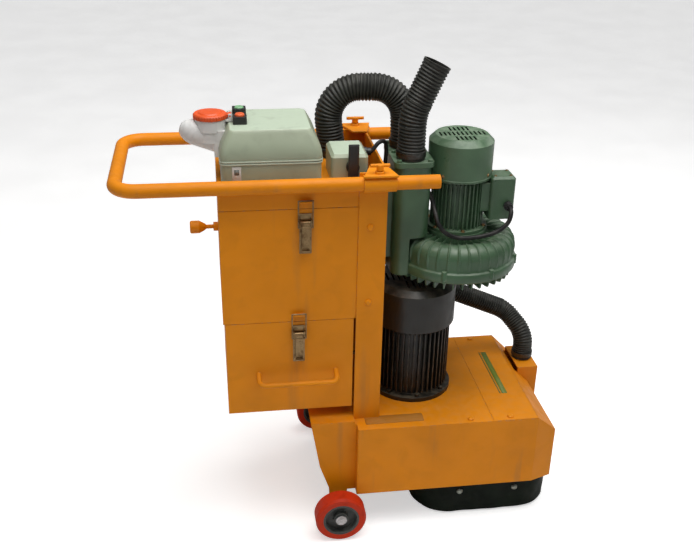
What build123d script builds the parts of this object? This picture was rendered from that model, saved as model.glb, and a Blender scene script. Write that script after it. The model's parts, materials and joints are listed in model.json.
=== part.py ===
from build123d import *

import os
from math import cos, pi, radians, sin

# A walk-behind concrete floor grinder with its own vacuum blower and dust cabinet.
# Millimetres. +X is forward, +Y the machine's left, +Z up. The origin is on the floor,
# under the middle of the whole machine.

# Whole machine
HANDLE_REAR_X = -540.0  # centre line of the handle's cross bar
HANDLE_Z = 943.0
HANDLE_HALF_WIDTH = 182.0
HANDLE_TUBE_R = 16.0
HANDLE_FRONT_X = 180.0
RUNNING_GAP = 0.06  # radial clearance of shafts, pins and slides

# Grinding head housing
DECK_Z = 303.0
HOUSING_BOTTOM_Z = 104.0
HOUSING_REAR_X = 5.0
HOUSING_HALF_WIDTH = 216.0
HOOD_X = 473.0  # where the deck starts to slope down
FRONT_X = 530.0
FRONT_Z = 250.0
FRONT_HALF_WIDTH = 196.0
PLATE = 4.0
BELT_COVER_REAR_X = 354.5

# Dust pick-up box on the front of the housing
PICKUP_FRONT_X = 556.0
PICKUP_REAR_X = 498.0
PICKUP_Y = (40.0, 160.0)
PICKUP_Z = (170.0, 296.0)
PICKUP_SPIGOT = (527.0, 100.0)

# Upright post and dust cabinet
POST_DEPTH = 66.0
POST_HALF_WIDTH = 164.0
POST_TOP_Z = 962.0
TOP_Z = 930.0  # top of the cabinet's lid
CABINET_REAR_X = -317.0
CABINET_HALF_WIDTH = 162.0
DRAWER_SEAM_Z = 593.0
LID_SEAM_Z = 880.0
BAY_BOTTOM_Z = 342.0
BAY_X = (-312.0, -5.0)
SHEET = 3.0
FILTER_X = -150.0
FILTER_R = 100.0
SHAKER_Z = 778.0
INLET_Y = 128.0
INLET_Z = 625.0

# Hoses
WIDE_HOSE_R = 33.5
WIDE_HOSE_BORE_R = 30.0
THIN_HOSE_R = 27.0
THIN_HOSE_BORE_R = 23.5
LID_PORT = (-36.0, 62.0)
BLOWER_PORT_X = 141.0
BLOWER_PORT_Y = 45.0
PORT_FACE_Z = 952.0
EXHAUST_TILT = 24.0
CABLE_R = 5.0

# Side-channel blower
BLOWER_X = 275.0
BLOWER_R = 156.0
BLOWER_BASE_Z = 664.0
BLOWER_SEAT_Z = 760.0
BLOWER_MOTOR_R = 66.0
BLOWER_MOTOR_TOP_Z = 893.0
BLOWER_COWL_R = 79.0
BLOWER_COWL_TOP_Z = 996.0
BLOWER_SHAFT_R = 10.0
SILENCER_X = (100.0, 190.0)
SILENCER_HALF_WIDTH = 80.0
SILENCER_TOP_Z = 940.0

# Grinding motor and belt drive
MOTOR_X = 178.0
MOTOR_R = 98.0
MOTOR_COWL_R = 107.0
MOTOR_BODY_TOP_Z = 506.0
MOTOR_COWL_TOP_Z = 620.0
MOTOR_SHAFT_R = 12.0
SPINDLE_X = 359.0
SPINDLE_R = 20.0
MOTOR_PULLEY_R = 45.0
SPINDLE_PULLEY_R = 70.0
PULLEY_Z = (215.0, 255.0)

# Grinding disc, its cowl and skirt
DISC_R = 172.0
DISC_Z = (20.0, 32.0)
SKIRT_X = (170.0, 548.0)
SKIRT_HALF_WIDTH = 199.0
SKIRT_CORNER_R = 100.0
SKIRT_Z = (5.0, 100.0)
SKIRT_WALL = 6.0

# Wheels
AXLE_X = -41.0
AXLE_Z = 65.0
AXLE_R = 10.0
WHEEL_R = 65.0
WHEEL_HUB_R = 46.0
WHEEL_Y = (222.0, 267.0)

# Latches, the same on the lid and on the drawer
LATCH_LID_X = -122.0
LATCH_DRAWER_X = -138.0
LATCH_PIVOT_DROP = 30.0  # lever pin below the seam
LATCH_BAIL_DROP = 42.0  # bail pin below the seam
LATCH_AXIS_Y = -171.0
LATCH_WIRE_R = 1.75

# Control box, supply inlet and reversing switch
CONTROL_X = (-307.0, -84.0)
CONTROL_Y = (-158.0, 49.0)
CONTROL_RIM_Z = 991.0
CONTROL_SHOULDER_Z = 1007.0
CONTROL_TOP_Z = 1059.0
START_BUTTON = (-259.0, -17.0)
STOP_BUTTON = (-260.0, -81.0)
INLET_SOCKET = (-325.0, -60.0)
INLET_TILT = 20.8
INLET_HINGE = (-281.0, 1072.0)
SWITCH_X = (-59.0, 26.0)
SWITCH_Y = (-125.0, -15.0)
SWITCH_TOP_Z = 992.0
SWITCH_LEVER = (-11.0, 965.0)


def block(x, y, z):
    """A box between the two values given for each axis."""
    size = Box(x[1] - x[0], y[1] - y[0], z[1] - z[0])
    return Pos((x[0] + x[1]) / 2, (y[0] + y[1]) / 2, (z[0] + z[1]) / 2) * size


def rod_x(x, y, z, radius):
    return Pos((x[0] + x[1]) / 2, y, z) * Rot(0, 90, 0) * Cylinder(radius, x[1] - x[0])


def rod_y(x, y, z, radius):
    return Pos(x, (y[0] + y[1]) / 2, z) * Rot(90, 0, 0) * Cylinder(radius, y[1] - y[0])


def rod_z(x, y, z, radius):
    return Pos(x, y, (z[0] + z[1]) / 2) * Cylinder(radius, z[1] - z[0])


def tube_z(x, y, z, outer, inner):
    return rod_z(x, y, z, outer) - rod_z(x, y, z, inner)


def plate_y(outline, y):
    """An XZ outline carried from y[0] to y[1]."""
    face = Plane.XZ.offset(-y[1]) * make_face(Polyline(*outline, close=True))
    return extrude(face, amount=y[1] - y[0])


def plate_z(outline, z):
    """An XY outline carried from z[0] to z[1]."""
    face = Plane.XY.offset(z[0]) * make_face(Polyline(*outline, close=True))
    return extrude(face, amount=z[1] - z[0])


def turned_x(profile, y, z):
    """(x, radius) points turned about a line along X."""
    face = make_face(Polyline(*profile, close=True))
    return Pos(0, y, z) * revolve(face, Axis.X)


def turned_z(profile, x, y):
    """(radius, z) points turned about a line along Z."""
    face = Plane.XZ * make_face(Polyline(*profile, close=True))
    return Pos(x, y, 0) * revolve(face, Axis.Z)


def around_z(solid, x, y, count):
    """Copies of a solid, modelled about the world Z axis, set evenly round a line at x, y."""
    return [Pos(x, y, 0) * Rot(0, 0, 360.0 * turn / count) * solid for turn in range(count)]


def rounded_block(x, y, z, radius):
    """A box with rounded upright edges."""
    outline = RectangleRounded(x[1] - x[0], y[1] - y[0], radius)
    return extrude(Pos((x[0] + x[1]) / 2, (y[0] + y[1]) / 2, z[0]) * outline, amount=z[1] - z[0])


def both_sides(solid):
    """A solid and its mirror image on the machine's other side."""
    return solid + mirror(solid, about=Plane.XZ)


def swept_ring(path, outer, inner):
    start = Plane(origin=path @ 0, z_dir=path % 0)
    return sweep(start * (Circle(outer) - Circle(inner)), path=path)


# Grinding head and chassis


def housing_form(inset, bottom):
    """The housing's block form, or the same form set in by a plate's thickness."""
    rear = HOUSING_REAR_X + inset
    front = FRONT_X - inset
    side = [
        (rear, bottom),
        (rear, DECK_Z - 1.5 * inset),
        (HOOD_X - inset / 2, DECK_Z - 1.5 * inset),
        (front, FRONT_Z - inset),
        (front, bottom),
    ]
    half = HOUSING_HALF_WIDTH - inset
    half_front = FRONT_HALF_WIDTH - inset
    plan = [
        (rear, -half),
        (HOOD_X, -half),
        (front, -half_front),
        (front, half_front),
        (HOOD_X, half),
        (rear, half),
    ]
    return plate_y(side, (-half, half)) & plate_z(plan, (bottom, DECK_Z))


def head_housing():
    """Folded housing of the head, with its welded dust pick-up box and spigot."""
    x, y = PICKUP_SPIGOT
    shell = housing_form(0, HOUSING_BOTTOM_Z)
    pickup = block((PICKUP_REAR_X, PICKUP_FRONT_X), PICKUP_Y, PICKUP_Z)
    spigot = rod_z(x, y, (PICKUP_Z[1], PICKUP_Z[1] + 40), THIN_HOSE_BORE_R - 0.3)
    shell = shell + pickup + spigot
    shell -= housing_form(PLATE, HOUSING_BOTTOM_Z)
    shell -= block(
        (FRONT_X - 40, PICKUP_FRONT_X - PLATE),
        (PICKUP_Y[0] + PLATE, PICKUP_Y[1] - PLATE),
        (PICKUP_Z[0] + PLATE, PICKUP_Z[1] - PLATE),
    )
    shell -= rod_z(x, y, (PICKUP_Z[0] + 20, PICKUP_Z[1] + 40), THIN_HOSE_BORE_R - 2.3)
    cover = (BELT_COVER_REAR_X, HOOD_X - 0.5)
    half = HOUSING_HALF_WIDTH - 0.5
    shell -= block(cover, (-half, half), (DECK_Z - 3, DECK_Z))
    shell -= block((370, 455), (-185, 185), (DECK_Z - 10, DECK_Z))
    shell -= rod_z(MOTOR_X, 0, (DECK_Z - 10, DECK_Z), 60)
    for screw_x in (BELT_COVER_REAR_X - 57, BELT_COVER_REAR_X + 47):
        for side in (-200, 200):
            shell -= rod_z(screw_x, side, (DECK_Z - 10, DECK_Z), 4.2)
    return shell


def belt_cover():
    """Lift-off plate over the belts, let into the deck."""
    half = HOUSING_HALF_WIDTH - 1
    cover = block((BELT_COVER_REAR_X + 0.5, HOOD_X - 1), (-half, half), (DECK_Z - 3, DECK_Z))
    for side in (-200, 200):
        cover -= rod_z(BELT_COVER_REAR_X + 47, side, (DECK_Z - 3, DECK_Z), 4.2)
    return cover


def rear_axle_frame():
    """Box frame behind the housing that carries the axle in two ears."""
    outline = [
        (-111, 312),
        (-88, 180),
        (-61, 103),
        (5, 103),
        (5, DECK_Z),
        (0, DECK_Z),
        (0, 312),
    ]
    inside = [
        (-106, 308),
        (-84, 180),
        (-58, 103),
        (5, 103),
        (5, DECK_Z - PLATE),
        (-4, DECK_Z - PLATE),
        (-4, 308),
    ]
    frame = plate_y(outline, (-190, 190)) - plate_y(inside, (-184, 184))
    ear_outline = [(-64, 120), (-60, 44), (-22, 44), (-14, 120)]
    ear = plate_y(ear_outline, (-190, -184)) - rod_y(AXLE_X, (-190, -184), AXLE_Z, AXLE_R)
    return frame + both_sides(ear)


def screw_places():
    """Seat, outward direction of the head and length of every button-head screw."""
    places = []
    for side in (-1, 1):
        for x in (BELT_COVER_REAR_X - 57, BELT_COVER_REAR_X + 47):
            places.append(Plane(origin=(x, side * 200, DECK_Z), z_dir=(0, 0, 1)))
        for z in (829, 635):
            places.append(Plane(origin=(28, side * POST_HALF_WIDTH, z), z_dir=(0, side, 0)))
        for x in (285, 435):
            places.append(Plane(origin=(x, side * SKIRT_HALF_WIDTH, 74), z_dir=(0, side, 0)))
    return places


def button_head_screws():
    """M8 button-head screws of the deck, the post and the skirt."""
    profile = [(0, -9), (4, -9), (4, 0), (8.5, 0), (7.5, 3), (4.5, 4.8), (0, 4.8)]
    screw = turned_z(profile, 0, 0)
    return Compound(children=[place * screw for place in screw_places()])


def upright_post():
    """Folded channel standing on the deck, with its web to the front."""
    half = POST_HALF_WIDTH
    post = block((POST_DEPTH - 5, POST_DEPTH), (-half, half), (DECK_Z, POST_TOP_Z))
    post += both_sides(block((0, POST_DEPTH), (-half, -half + 5), (DECK_Z, POST_TOP_Z)))
    post += block((0, POST_DEPTH), (-half, half), (DECK_Z, DECK_Z + 6))
    post -= rod_x((POST_DEPTH - 5, POST_DEPTH), INLET_Y, INLET_Z, THIN_HOSE_BORE_R)
    for z in (829, 635):
        post -= rod_y(28, (-half, half), z, 4.2)
    return post


def handle_clamps():
    """Sleeves and top plates welded to the post's head; the handle's arms slide in the sleeves."""
    y = HANDLE_HALF_WIDTH
    outer, inner = -y - 19, -POST_HALF_WIDTH
    sleeve = block((5, 80), (outer, inner), (HANDLE_Z - 19, POST_TOP_Z))
    boss = rod_z(42, -y, (POST_TOP_Z, POST_TOP_Z + 10), 11)
    outline = [(3, outer), (82, outer), (66, -128), (28, -128)]
    clamp = sleeve + boss + plate_z(outline, (POST_TOP_Z, POST_TOP_Z + 5))
    clamp -= rod_x((5, 80), -y, HANDLE_Z, HANDLE_TUBE_R + RUNNING_GAP)
    clamp -= rod_z(42, -y, (HANDLE_Z + 10, POST_TOP_Z + 10), 5 + RUNNING_GAP)
    return both_sides(clamp)


def handle_frame():
    """U-shaped push handle bent from one tube, its open ends plugged."""
    y = HANDLE_HALF_WIDTH
    corners = [
        (HANDLE_FRONT_X, -y, HANDLE_Z),
        (HANDLE_REAR_X, -y, HANDLE_Z),
        (HANDLE_REAR_X, y, HANDLE_Z),
        (HANDLE_FRONT_X, y, HANDLE_Z),
    ]
    tube = swept_ring(FilletPolyline(*corners, radius=50), HANDLE_TUBE_R, HANDLE_TUBE_R - 2.5)
    plug = rod_x((HANDLE_FRONT_X - 4, HANDLE_FRONT_X), -y, HANDLE_Z, HANDLE_TUBE_R - 2.5)
    return tube + both_sides(plug)


def clamp_screw(side):
    """T-headed screw that grips the handle's arm."""
    y = side * HANDLE_HALF_WIDTH
    low = HANDLE_Z + HANDLE_TUBE_R + 0.1
    screw = rod_z(42, y, (low, low + 28), 5)
    screw += rod_z(42, y, (low + 15, low + 28), 8)
    return screw + rod_x((42 - 22, 42 + 22), y, low + 26, 4)


# Dust cabinet


def cabinet_body():
    """Filter chamber with the drawer's bay below it, as one welded shell."""
    rear, half = CABINET_REAR_X, CABINET_HALF_WIDTH
    body = block((rear, 0), (-half, half), (DRAWER_SEAM_Z, LID_SEAM_Z))
    body -= block((rear + SHEET, -SHEET), (-half + SHEET, half - SHEET), (DRAWER_SEAM_Z + SHEET, LID_SEAM_Z))
    tube_sheet = block((rear, 0), (-half, half), (LID_SEAM_Z - 18, LID_SEAM_Z - 14))
    body += tube_sheet
    body -= rod_z(FILTER_X, 0, (LID_SEAM_Z - 18, LID_SEAM_Z - 14), FILTER_R + 3)
    body -= block((-290, -27), (-135, 135), (DRAWER_SEAM_Z, DRAWER_SEAM_Z + SHEET))
    bay = block(BAY_X, (-half + SHEET, half), (BAY_BOTTOM_Z, DRAWER_SEAM_Z))
    bay -= block(
        (BAY_X[0] + SHEET, BAY_X[1] - SHEET),
        (-half + SHEET, half - SHEET),
        (BAY_BOTTOM_Z + SHEET, DRAWER_SEAM_Z),
    )
    body += bay
    for x in (-290, -47):
        body += block((x, x + 20), (-150, 150), (BAY_BOTTOM_Z + SHEET, BAY_BOTTOM_Z + 9.8))
    bush = rod_x((rear - 12, rear + 8), 0, SHAKER_Z, 11)
    inlet = rod_x((-20, POST_DEPTH + 38), INLET_Y, INLET_Z, THIN_HOSE_BORE_R - 0.3)
    body = body + bush + inlet + latch_tab(LATCH_DRAWER_X, DRAWER_SEAM_Z)
    body -= rod_x((rear - 12, rear + 8), 0, SHAKER_Z, 5 + RUNNING_GAP)
    return body - rod_x((-20, POST_DEPTH + 38), INLET_Y, INLET_Z, THIN_HOSE_BORE_R - 2.3)


def cabinet_lid():
    """Lid over the filter chamber, with the spigot for the hose to the blower."""
    rear, half = CABINET_REAR_X, CABINET_HALF_WIDTH
    x, y = LID_PORT
    lid = block((rear, 0), (-half, half), (LID_SEAM_Z + 1, TOP_Z))
    lid -= block((rear + SHEET, -SHEET), (-half + SHEET, half - SHEET), (LID_SEAM_Z + 1, TOP_Z - SHEET))
    lid += rod_z(x, y, (TOP_Z, TOP_Z + 30), WIDE_HOSE_BORE_R - 0.3)
    lid -= rod_z(x, y, (TOP_Z - SHEET, TOP_Z + 30), WIDE_HOSE_BORE_R - 2.3)
    return lid + latch_tab(LATCH_LID_X, LID_SEAM_Z)


def filter_element():
    """Pleated cartridge hung by its flange from the tube sheet."""
    seat = LID_SEAM_Z - 14
    pleats = []
    for fold in range(96):
        radius = FILTER_R if fold % 2 else FILTER_R - 14
        angle = 2 * pi * fold / 96
        pleats.append((radius * cos(angle), radius * sin(angle)))
    element = Pos(FILTER_X, 0, 0) * plate_z(pleats, (640, seat))
    element += rod_z(FILTER_X, 0, (634, 640), FILTER_R + 1)
    element += rod_z(FILTER_X, 0, (seat, seat + 8), FILTER_R + 12)
    return element - rod_z(FILTER_X, 0, (640, seat + 8), 60)


def shaker_rod():
    """Pull rod that shakes the filter, turned in one piece with its knob."""
    rear = CABINET_REAR_X
    profile = [
        (rear - 68, 0),
        (rear - 68, 13),
        (rear - 65, 15.5),
        (rear - 46, 15.5),
        (rear - 32, 8),
        (rear - 29, 5),
        (-262, 5),
        (-262, 12),
        (-257, 12),
        (-257, 0),
    ]
    return turned_x(profile, 0, SHAKER_Z)


def dust_drawer():
    """Dust bin with its front panel and welded pull."""
    front = -CABINET_HALF_WIDTH
    top = DRAWER_SEAM_Z - 1
    panel = block(BAY_X, (front, front + 2.8), (BAY_BOTTOM_Z, top))
    bin_body = block((-305, -12), (front + 2, 152), (BAY_BOTTOM_Z + 10, top - 20))
    bin_body -= block((-303, -14), (front + 4, 150), (BAY_BOTTOM_Z + 12, top - 20))
    grip = FilletPolyline(
        (-236, front + 1, 452),
        (-236, front - 38, 440),
        (-47, front - 38, 440),
        (-47, front + 1, 452),
        radius=16,
    )
    pull = sweep(Plane(origin=grip @ 0, z_dir=grip % 0) * Circle(6), path=grip)
    return panel + bin_body + pull


def latch_tab(x, seam):
    """Keeper tab that the latch's wire bail pulls down on."""
    face = -CABINET_HALF_WIDTH
    return block((x - 13, x + 13), (face - 12, face), (seam + 18, seam + 21))


def latch_base(x, seam):
    """Latch plate with the two ears that hold the lever's pin."""
    face = -CABINET_HALF_WIDTH
    pivot_z = seam - LATCH_PIVOT_DROP
    base = block((x - 14, x + 14), (face - 3, face), (seam - 109, seam - 10))
    for side in (-1, 1):
        ear_x = sorted((x + side * 11, x + side * 14))
        base += block(ear_x, (face - 14, face - 3), (pivot_z - 7, pivot_z + 7))
    base -= rod_x((x - 14, x + 14), LATCH_AXIS_Y, pivot_z, 2.5 + RUNNING_GAP)
    return base


def latch_lever(x, seam):
    """Over-centre lever with its pin, hanging closed down the base."""
    pivot_z = seam - LATCH_PIVOT_DROP
    bail_z = seam - LATCH_BAIL_DROP
    y = LATCH_AXIS_Y
    lever = rod_x((x - 10.6, x + 10.6), y, pivot_z, 4.5)
    lever += rod_x((x - 14.5, x + 14.5), y, pivot_z, 2.5)
    lever += block((x - 9, x + 9), (y - 2.5, y + 0.5), (seam - 96, pivot_z))
    lever += block((x - 9, x + 9), (y - 10, y + 0.5), (seam - 99, seam - 96))
    lever += rod_x((x - 9, x + 9), y, bail_z, 3.4)
    return lever - rod_x((x - 10, x + 10), y, bail_z, LATCH_WIRE_R + RUNNING_GAP)


def latch_bail(x, seam):
    """Closed wire loop from the lever to the keeper tab."""
    low = seam - LATCH_BAIL_DROP
    high = seam + 21.3 + LATCH_WIRE_R
    half = 16.5
    y = LATCH_AXIS_Y
    bail = rod_x((x - half, x + half), y, low, LATCH_WIRE_R)
    bail += rod_x((x - half, x + half), y, high, LATCH_WIRE_R)
    for side in (x - half, x + half):
        bail += rod_z(side, y, (low, high), LATCH_WIRE_R)
        for z in (low, high):
            bail += Pos(side, y, z) * Sphere(LATCH_WIRE_R)
    return bail


# Electrical boxes


def control_cover_form(inset):
    """The control box cover's outer form, or the same form set in."""
    middle_x, middle_y = sum(CONTROL_X) / 2, sum(CONTROL_Y) / 2
    width = CONTROL_X[1] - CONTROL_X[0] + 4 - 2 * inset
    depth = CONTROL_Y[1] - CONTROL_Y[0] + 4 - 2 * inset
    low = Pos(middle_x, middle_y, CONTROL_SHOULDER_Z) * RectangleRounded(width, depth, 16)
    top_z = CONTROL_TOP_Z - inset
    high = Pos(middle_x, middle_y, top_z) * RectangleRounded(width - 48, depth - 46, 16)
    band = extrude(Pos(middle_x, middle_y, CONTROL_RIM_Z) * RectangleRounded(width, depth, 16),
                   amount=CONTROL_SHOULDER_Z - CONTROL_RIM_Z)
    return band + loft([low, high])


def control_box_base():
    """Lower half of the motor starter's box, screwed to the lid."""
    base = rounded_block(CONTROL_X, CONTROL_Y, (TOP_Z, CONTROL_RIM_Z), 14)
    hollow_x = (CONTROL_X[0] + PLATE, CONTROL_X[1] - PLATE)
    hollow_y = (CONTROL_Y[0] + PLATE, CONTROL_Y[1] - PLATE)
    return base - rounded_block(hollow_x, hollow_y, (TOP_Z + PLATE, CONTROL_RIM_Z), 10)


def control_box_cover():
    """Sloped upper half of the box, with the holes for the two buttons."""
    form = control_cover_form(0)
    form = fillet(form.faces().sort_by(Axis.Z)[-1].edges(), 5)
    cover = form - control_cover_form(PLATE)
    for x, y in (START_BUTTON, STOP_BUTTON):
        cover -= rod_z(x, y, (CONTROL_TOP_Z - 10, CONTROL_TOP_Z), 5 + RUNNING_GAP)
    return cover


def button_bezels():
    """Square surrounds of the start and stop buttons."""
    bezels = []
    for x, y in (START_BUTTON, STOP_BUTTON):
        height = (CONTROL_TOP_Z, CONTROL_TOP_Z + 17)
        bezel = rounded_block((x - 15.5, x + 15.5), (y - 15, y + 15), height, 4)
        bezels.append(bezel - rod_z(x, y, height, 11.2))
    return Compound(children=bezels)


def push_button(place, rise):
    """Button cap on its stem; it travels down inside the bezel."""
    x, y = place
    top = CONTROL_TOP_Z + rise
    profile = [
        (0, CONTROL_TOP_Z + 5),
        (10.8, CONTROL_TOP_Z + 5),
        (10.8, top - 2),
        (9, top),
        (0, top),
    ]
    return turned_z(profile, x, y) + rod_z(x, y, (CONTROL_TOP_Z - 18, CONTROL_TOP_Z + 5), 5)


def power_inlet_body():
    """Moulded inlet housing that leans back from the control box."""
    x, y = INLET_SOCKET
    wall = Plane(
        origin=(CONTROL_X[0] + 6, y, 1012),
        x_dir=(0, 1, 0),
        z_dir=(-cos(radians(INLET_TILT)), 0, sin(radians(INLET_TILT))),
    )
    nose = [(0, 0), (29, 0), (29, 66), (26, 78), (19, 90), (11, 97), (0, 99)]
    body = wall * turned_z(nose, 0, 0)
    body += block((CONTROL_X[0] - 12, -286), (y - 32, y + 32), (984, 1044))
    body += rod_z(x, y, (1015, 1040), 33)
    body -= control_cover_form(-0.2)
    body -= block((CONTROL_X[0] - 2.2, 0), (-200, 100), (TOP_Z, CONTROL_SHOULDER_Z))
    return body - rod_z(x, y, (1040, 1100), 35.2)


def inlet_socket():
    """Collar of the inlet with its five contact pins and the flap's hinge lugs."""
    x, y = INLET_SOCKET
    hinge_x, hinge_z = INLET_HINGE
    socket = tube_z(x, y, (1040, 1066), 35, 30) + rod_z(x, y, (1040, 1045), 35)
    for turn in range(5):
        angle = 2 * pi * turn / 5
        socket += rod_z(x + 18 * cos(angle), y + 18 * sin(angle), (1045, 1062), 3)
    for side in (-1, 1):
        lug_y = sorted((y + side * 9, y + side * 14))
        socket += block((x + 28, hinge_x + 5), lug_y, (1060.5, 1066))
        socket += block((hinge_x - 4, hinge_x + 5), lug_y, (1066, hinge_z + 5))
    socket -= control_cover_form(-0.2)
    return socket - rod_y(hinge_x, (y - 14, y + 14), hinge_z, 2 + RUNNING_GAP)


def inlet_lid():
    """Ribbed flap over the inlet, with its hinge barrel and pin."""
    x, y = INLET_SOCKET
    hinge_x, hinge_z = INLET_HINGE
    profile = [(0, 1067), (38, 1067), (38, 1075), (35, 1078), (27, 1078), (24, 1081), (0, 1082)]
    lid = turned_z(profile, x, y)
    notch = Pos(38, 0, 1072.5) * Box(2.4, 3, 12)
    for groove in around_z(notch, x, y, 36):
        lid -= groove
    lid += block((x + 34, hinge_x), (y - 8.5, y + 8.5), (1069, 1075))
    lid += rod_y(hinge_x, (y - 8.5, y + 8.5), hinge_z, 4)
    return lid + rod_y(hinge_x, (y - 14, y + 14), hinge_z, 2)


def reversing_switch_box():
    """Drum switch's box with a bevelled top."""
    box = rounded_block(SWITCH_X, SWITCH_Y, (TOP_Z, SWITCH_TOP_Z), 9)
    box = chamfer(box.faces().sort_by(Axis.Z)[-1].edges(), 7)
    inner_x = (SWITCH_X[0] + PLATE, SWITCH_X[1] - PLATE)
    inner_y = (SWITCH_Y[0] + PLATE, SWITCH_Y[1] - PLATE)
    box -= block(inner_x, inner_y, (TOP_Z, SWITCH_TOP_Z - 9))
    x, z = SWITCH_LEVER
    return box - rod_y(x, (SWITCH_Y[0], SWITCH_Y[0] + PLATE), z, 5 + RUNNING_GAP)


def reversing_lever():
    """Bar handle of the drum switch, upright when off."""
    x, z = SWITCH_LEVER
    face = SWITCH_Y[0]
    lever = rod_y(x, (face - 11, face - 1), z, 15)
    lever += rod_y(x, (face - 1, face + 12), z, 5)
    bar = rounded_block((x - 12, x + 12), (face - 22, face - 11), (z - 21, z + 55), 4)
    return lever + bar


# Hoses, clamps and cables


def filter_outlet_path():
    """From the lid's spigot up and over to the blower's left port."""
    (x, y), port_x, port_y = LID_PORT, BLOWER_PORT_X, BLOWER_PORT_Y
    corners = [
        (x, y, TOP_Z + 1),
        (x, y, TOP_Z + 36),
        (-54, 59, 1100),
        (136, 46, 1100),
        (port_x, port_y, PORT_FACE_Z + 38),
        (port_x, port_y, PORT_FACE_Z + 1),
    ]
    return FilletPolyline(*corners, radius=75)


def exhaust_path():
    """From the blower's right port up to the open end, which leans forward."""
    x, y = BLOWER_PORT_X, -BLOWER_PORT_Y
    radius, straight = 150.0, 95.0
    lean = radians(EXHAUST_TILT)
    foot = Line((x, y, PORT_FACE_Z + 1), (x, y, 1030))
    bend_end = (x + radius * (1 - cos(lean)), y, 1030 + radius * sin(lean))
    bend = TangentArc(foot @ 1, bend_end, tangent=(0, 0, 1))
    end = (bend_end[0] + straight * sin(lean), y, bend_end[2] + straight * cos(lean))
    return foot + bend + Line(bend_end, end)


def suction_path():
    """From the cabinet's inlet pipe round the motor and down to the pick-up box."""
    x, y = PICKUP_SPIGOT
    corners = [
        (POST_DEPTH + 4, INLET_Y, INLET_Z),
        (POST_DEPTH + 62, INLET_Y, INLET_Z),
        (300, 158, 500),
        (480, 150, 425),
        (x, y, 372),
        (x, y, PICKUP_Z[1] + 2),
    ]
    return FilletPolyline(*corners, radius=70)


def filter_outlet_hose():
    return swept_ring(filter_outlet_path(), WIDE_HOSE_R, WIDE_HOSE_BORE_R)


def exhaust_hose():
    return swept_ring(exhaust_path(), WIDE_HOSE_R, WIDE_HOSE_BORE_R)


def suction_hose():
    return swept_ring(suction_path(), THIN_HOSE_R, THIN_HOSE_BORE_R)


def hose_clamps():
    """Band clamps where the hoses meet their spigots."""
    clamps = []
    band_r, width = 2.2, 12
    for x, y, z in (
        (*LID_PORT, TOP_Z + 8),
        (BLOWER_PORT_X, BLOWER_PORT_Y, PORT_FACE_Z + 8),
        (BLOWER_PORT_X, -BLOWER_PORT_Y, PORT_FACE_Z + 8),
    ):
        inner = WIDE_HOSE_R + 0.1
        clamps.append(tube_z(x, y, (z, z + width), inner + band_r, inner))
    inner = THIN_HOSE_R + 0.1
    z = PICKUP_Z[1] + 10
    clamps.append(tube_z(*PICKUP_SPIGOT, (z, z + width), inner + band_r, inner))
    span = (POST_DEPTH + 10, POST_DEPTH + 10 + width)
    ring = rod_x(span, INLET_Y, INLET_Z, inner + band_r) - rod_x(span, INLET_Y, INLET_Z, inner)
    clamps.append(ring)
    return Compound(children=clamps)


def gland_places():
    """Where each cable leaves a box, and the direction it leaves in."""
    return [
        Plane(origin=(386, -60, 829), z_dir=(0, -1, 0)),
        Plane(origin=(SWITCH_X[1], -45, 972), z_dir=(1, 0, 0)),
        Plane(origin=(140, 122, 395), z_dir=(-1, 0, 0)),
    ]


def cable_glands():
    bore = CABLE_R + 0.3
    profile = [(bore, 0), (11, 0), (11, 8), (9, 9), (9, 18), (bore, 18)]
    return Compound(children=[place * turned_z(profile, 0, 0) for place in gland_places()])


def power_cables():
    """The blower's cable and the grinding motor's cable."""
    blower = FilletPolyline(
        (386, -60.5, 829),
        (386, -98, 829),
        (335, -102, 774),
        (243, -106, 771),
        (200, -98, 800),
        (199.5, -40, 850),
        (199.5, 95, 850),
        (100, 98, 840),
        (POST_DEPTH + 1, 98, 840),
        radius=16,
    )
    motor = FilletPolyline(
        (SWITCH_X[1] + 1, -45, 972),
        (54, -45, 972),
        (66, -36, 998),
        (86, -26, 985),
        (86, -5, 900),
        (86, -5, 690),
        (84, 75, 630),
        (86, 122, 540),
        (86, 122, 395),
        (138, 122, 395),
        radius=10,
    )
    cables = [sweep(Plane(origin=run @ 0, z_dir=run % 0) * Circle(CABLE_R), path=run) for run in (blower, motor)]
    return Compound(children=cables)


# Side-channel blower


def blower_silencer():
    """Cast column with the two silencer chambers, and its feet on the post."""
    half = SILENCER_HALF_WIDTH
    column = rounded_block(SILENCER_X, (-half, half), (660, SILENCER_TOP_Z), 16)
    for y in ((-half + 6, -4), (4, half - 6)):
        column -= rounded_block((SILENCER_X[0] + 6, SILENCER_X[1] - 6), y, (770, SILENCER_TOP_Z), 8)
    column += block((POST_DEPTH, POST_DEPTH + 6), (-75, 75), (690, 900))
    column += both_sides(block((POST_DEPTH, SILENCER_X[0] + 6), (-52, -42), (700, 890)))
    return column - rod_z(BLOWER_X, 0, (600, BLOWER_SEAT_Z), BLOWER_R + 0.3)


def blower_port_flange():
    """Bolted plate with the two hose spigots."""
    half = SILENCER_HALF_WIDTH + 3
    x = (SILENCER_X[0] - 3, SILENCER_X[1] + 3)
    flange = rounded_block(x, (-half, half), (SILENCER_TOP_Z, PORT_FACE_Z), 16)
    for bolt_x in (SILENCER_X[0] + 8, SILENCER_X[1] - 8):
        for bolt_y in (-half + 9, 0, half - 9):
            flange += rod_z(bolt_x, bolt_y, (PORT_FACE_Z, PORT_FACE_Z + 6), 5.5)
    for y in (-BLOWER_PORT_Y, BLOWER_PORT_Y):
        span = (SILENCER_TOP_Z, PORT_FACE_Z + 30)
        flange -= rod_z(BLOWER_PORT_X, y, (PORT_FACE_Z, PORT_FACE_Z + 6), WIDE_HOSE_R + 3)
        flange += rod_z(BLOWER_PORT_X, y, span, WIDE_HOSE_BORE_R - 0.3)
        flange -= rod_z(BLOWER_PORT_X, y, span, WIDE_HOSE_BORE_R - 2.8)
    return flange


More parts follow.
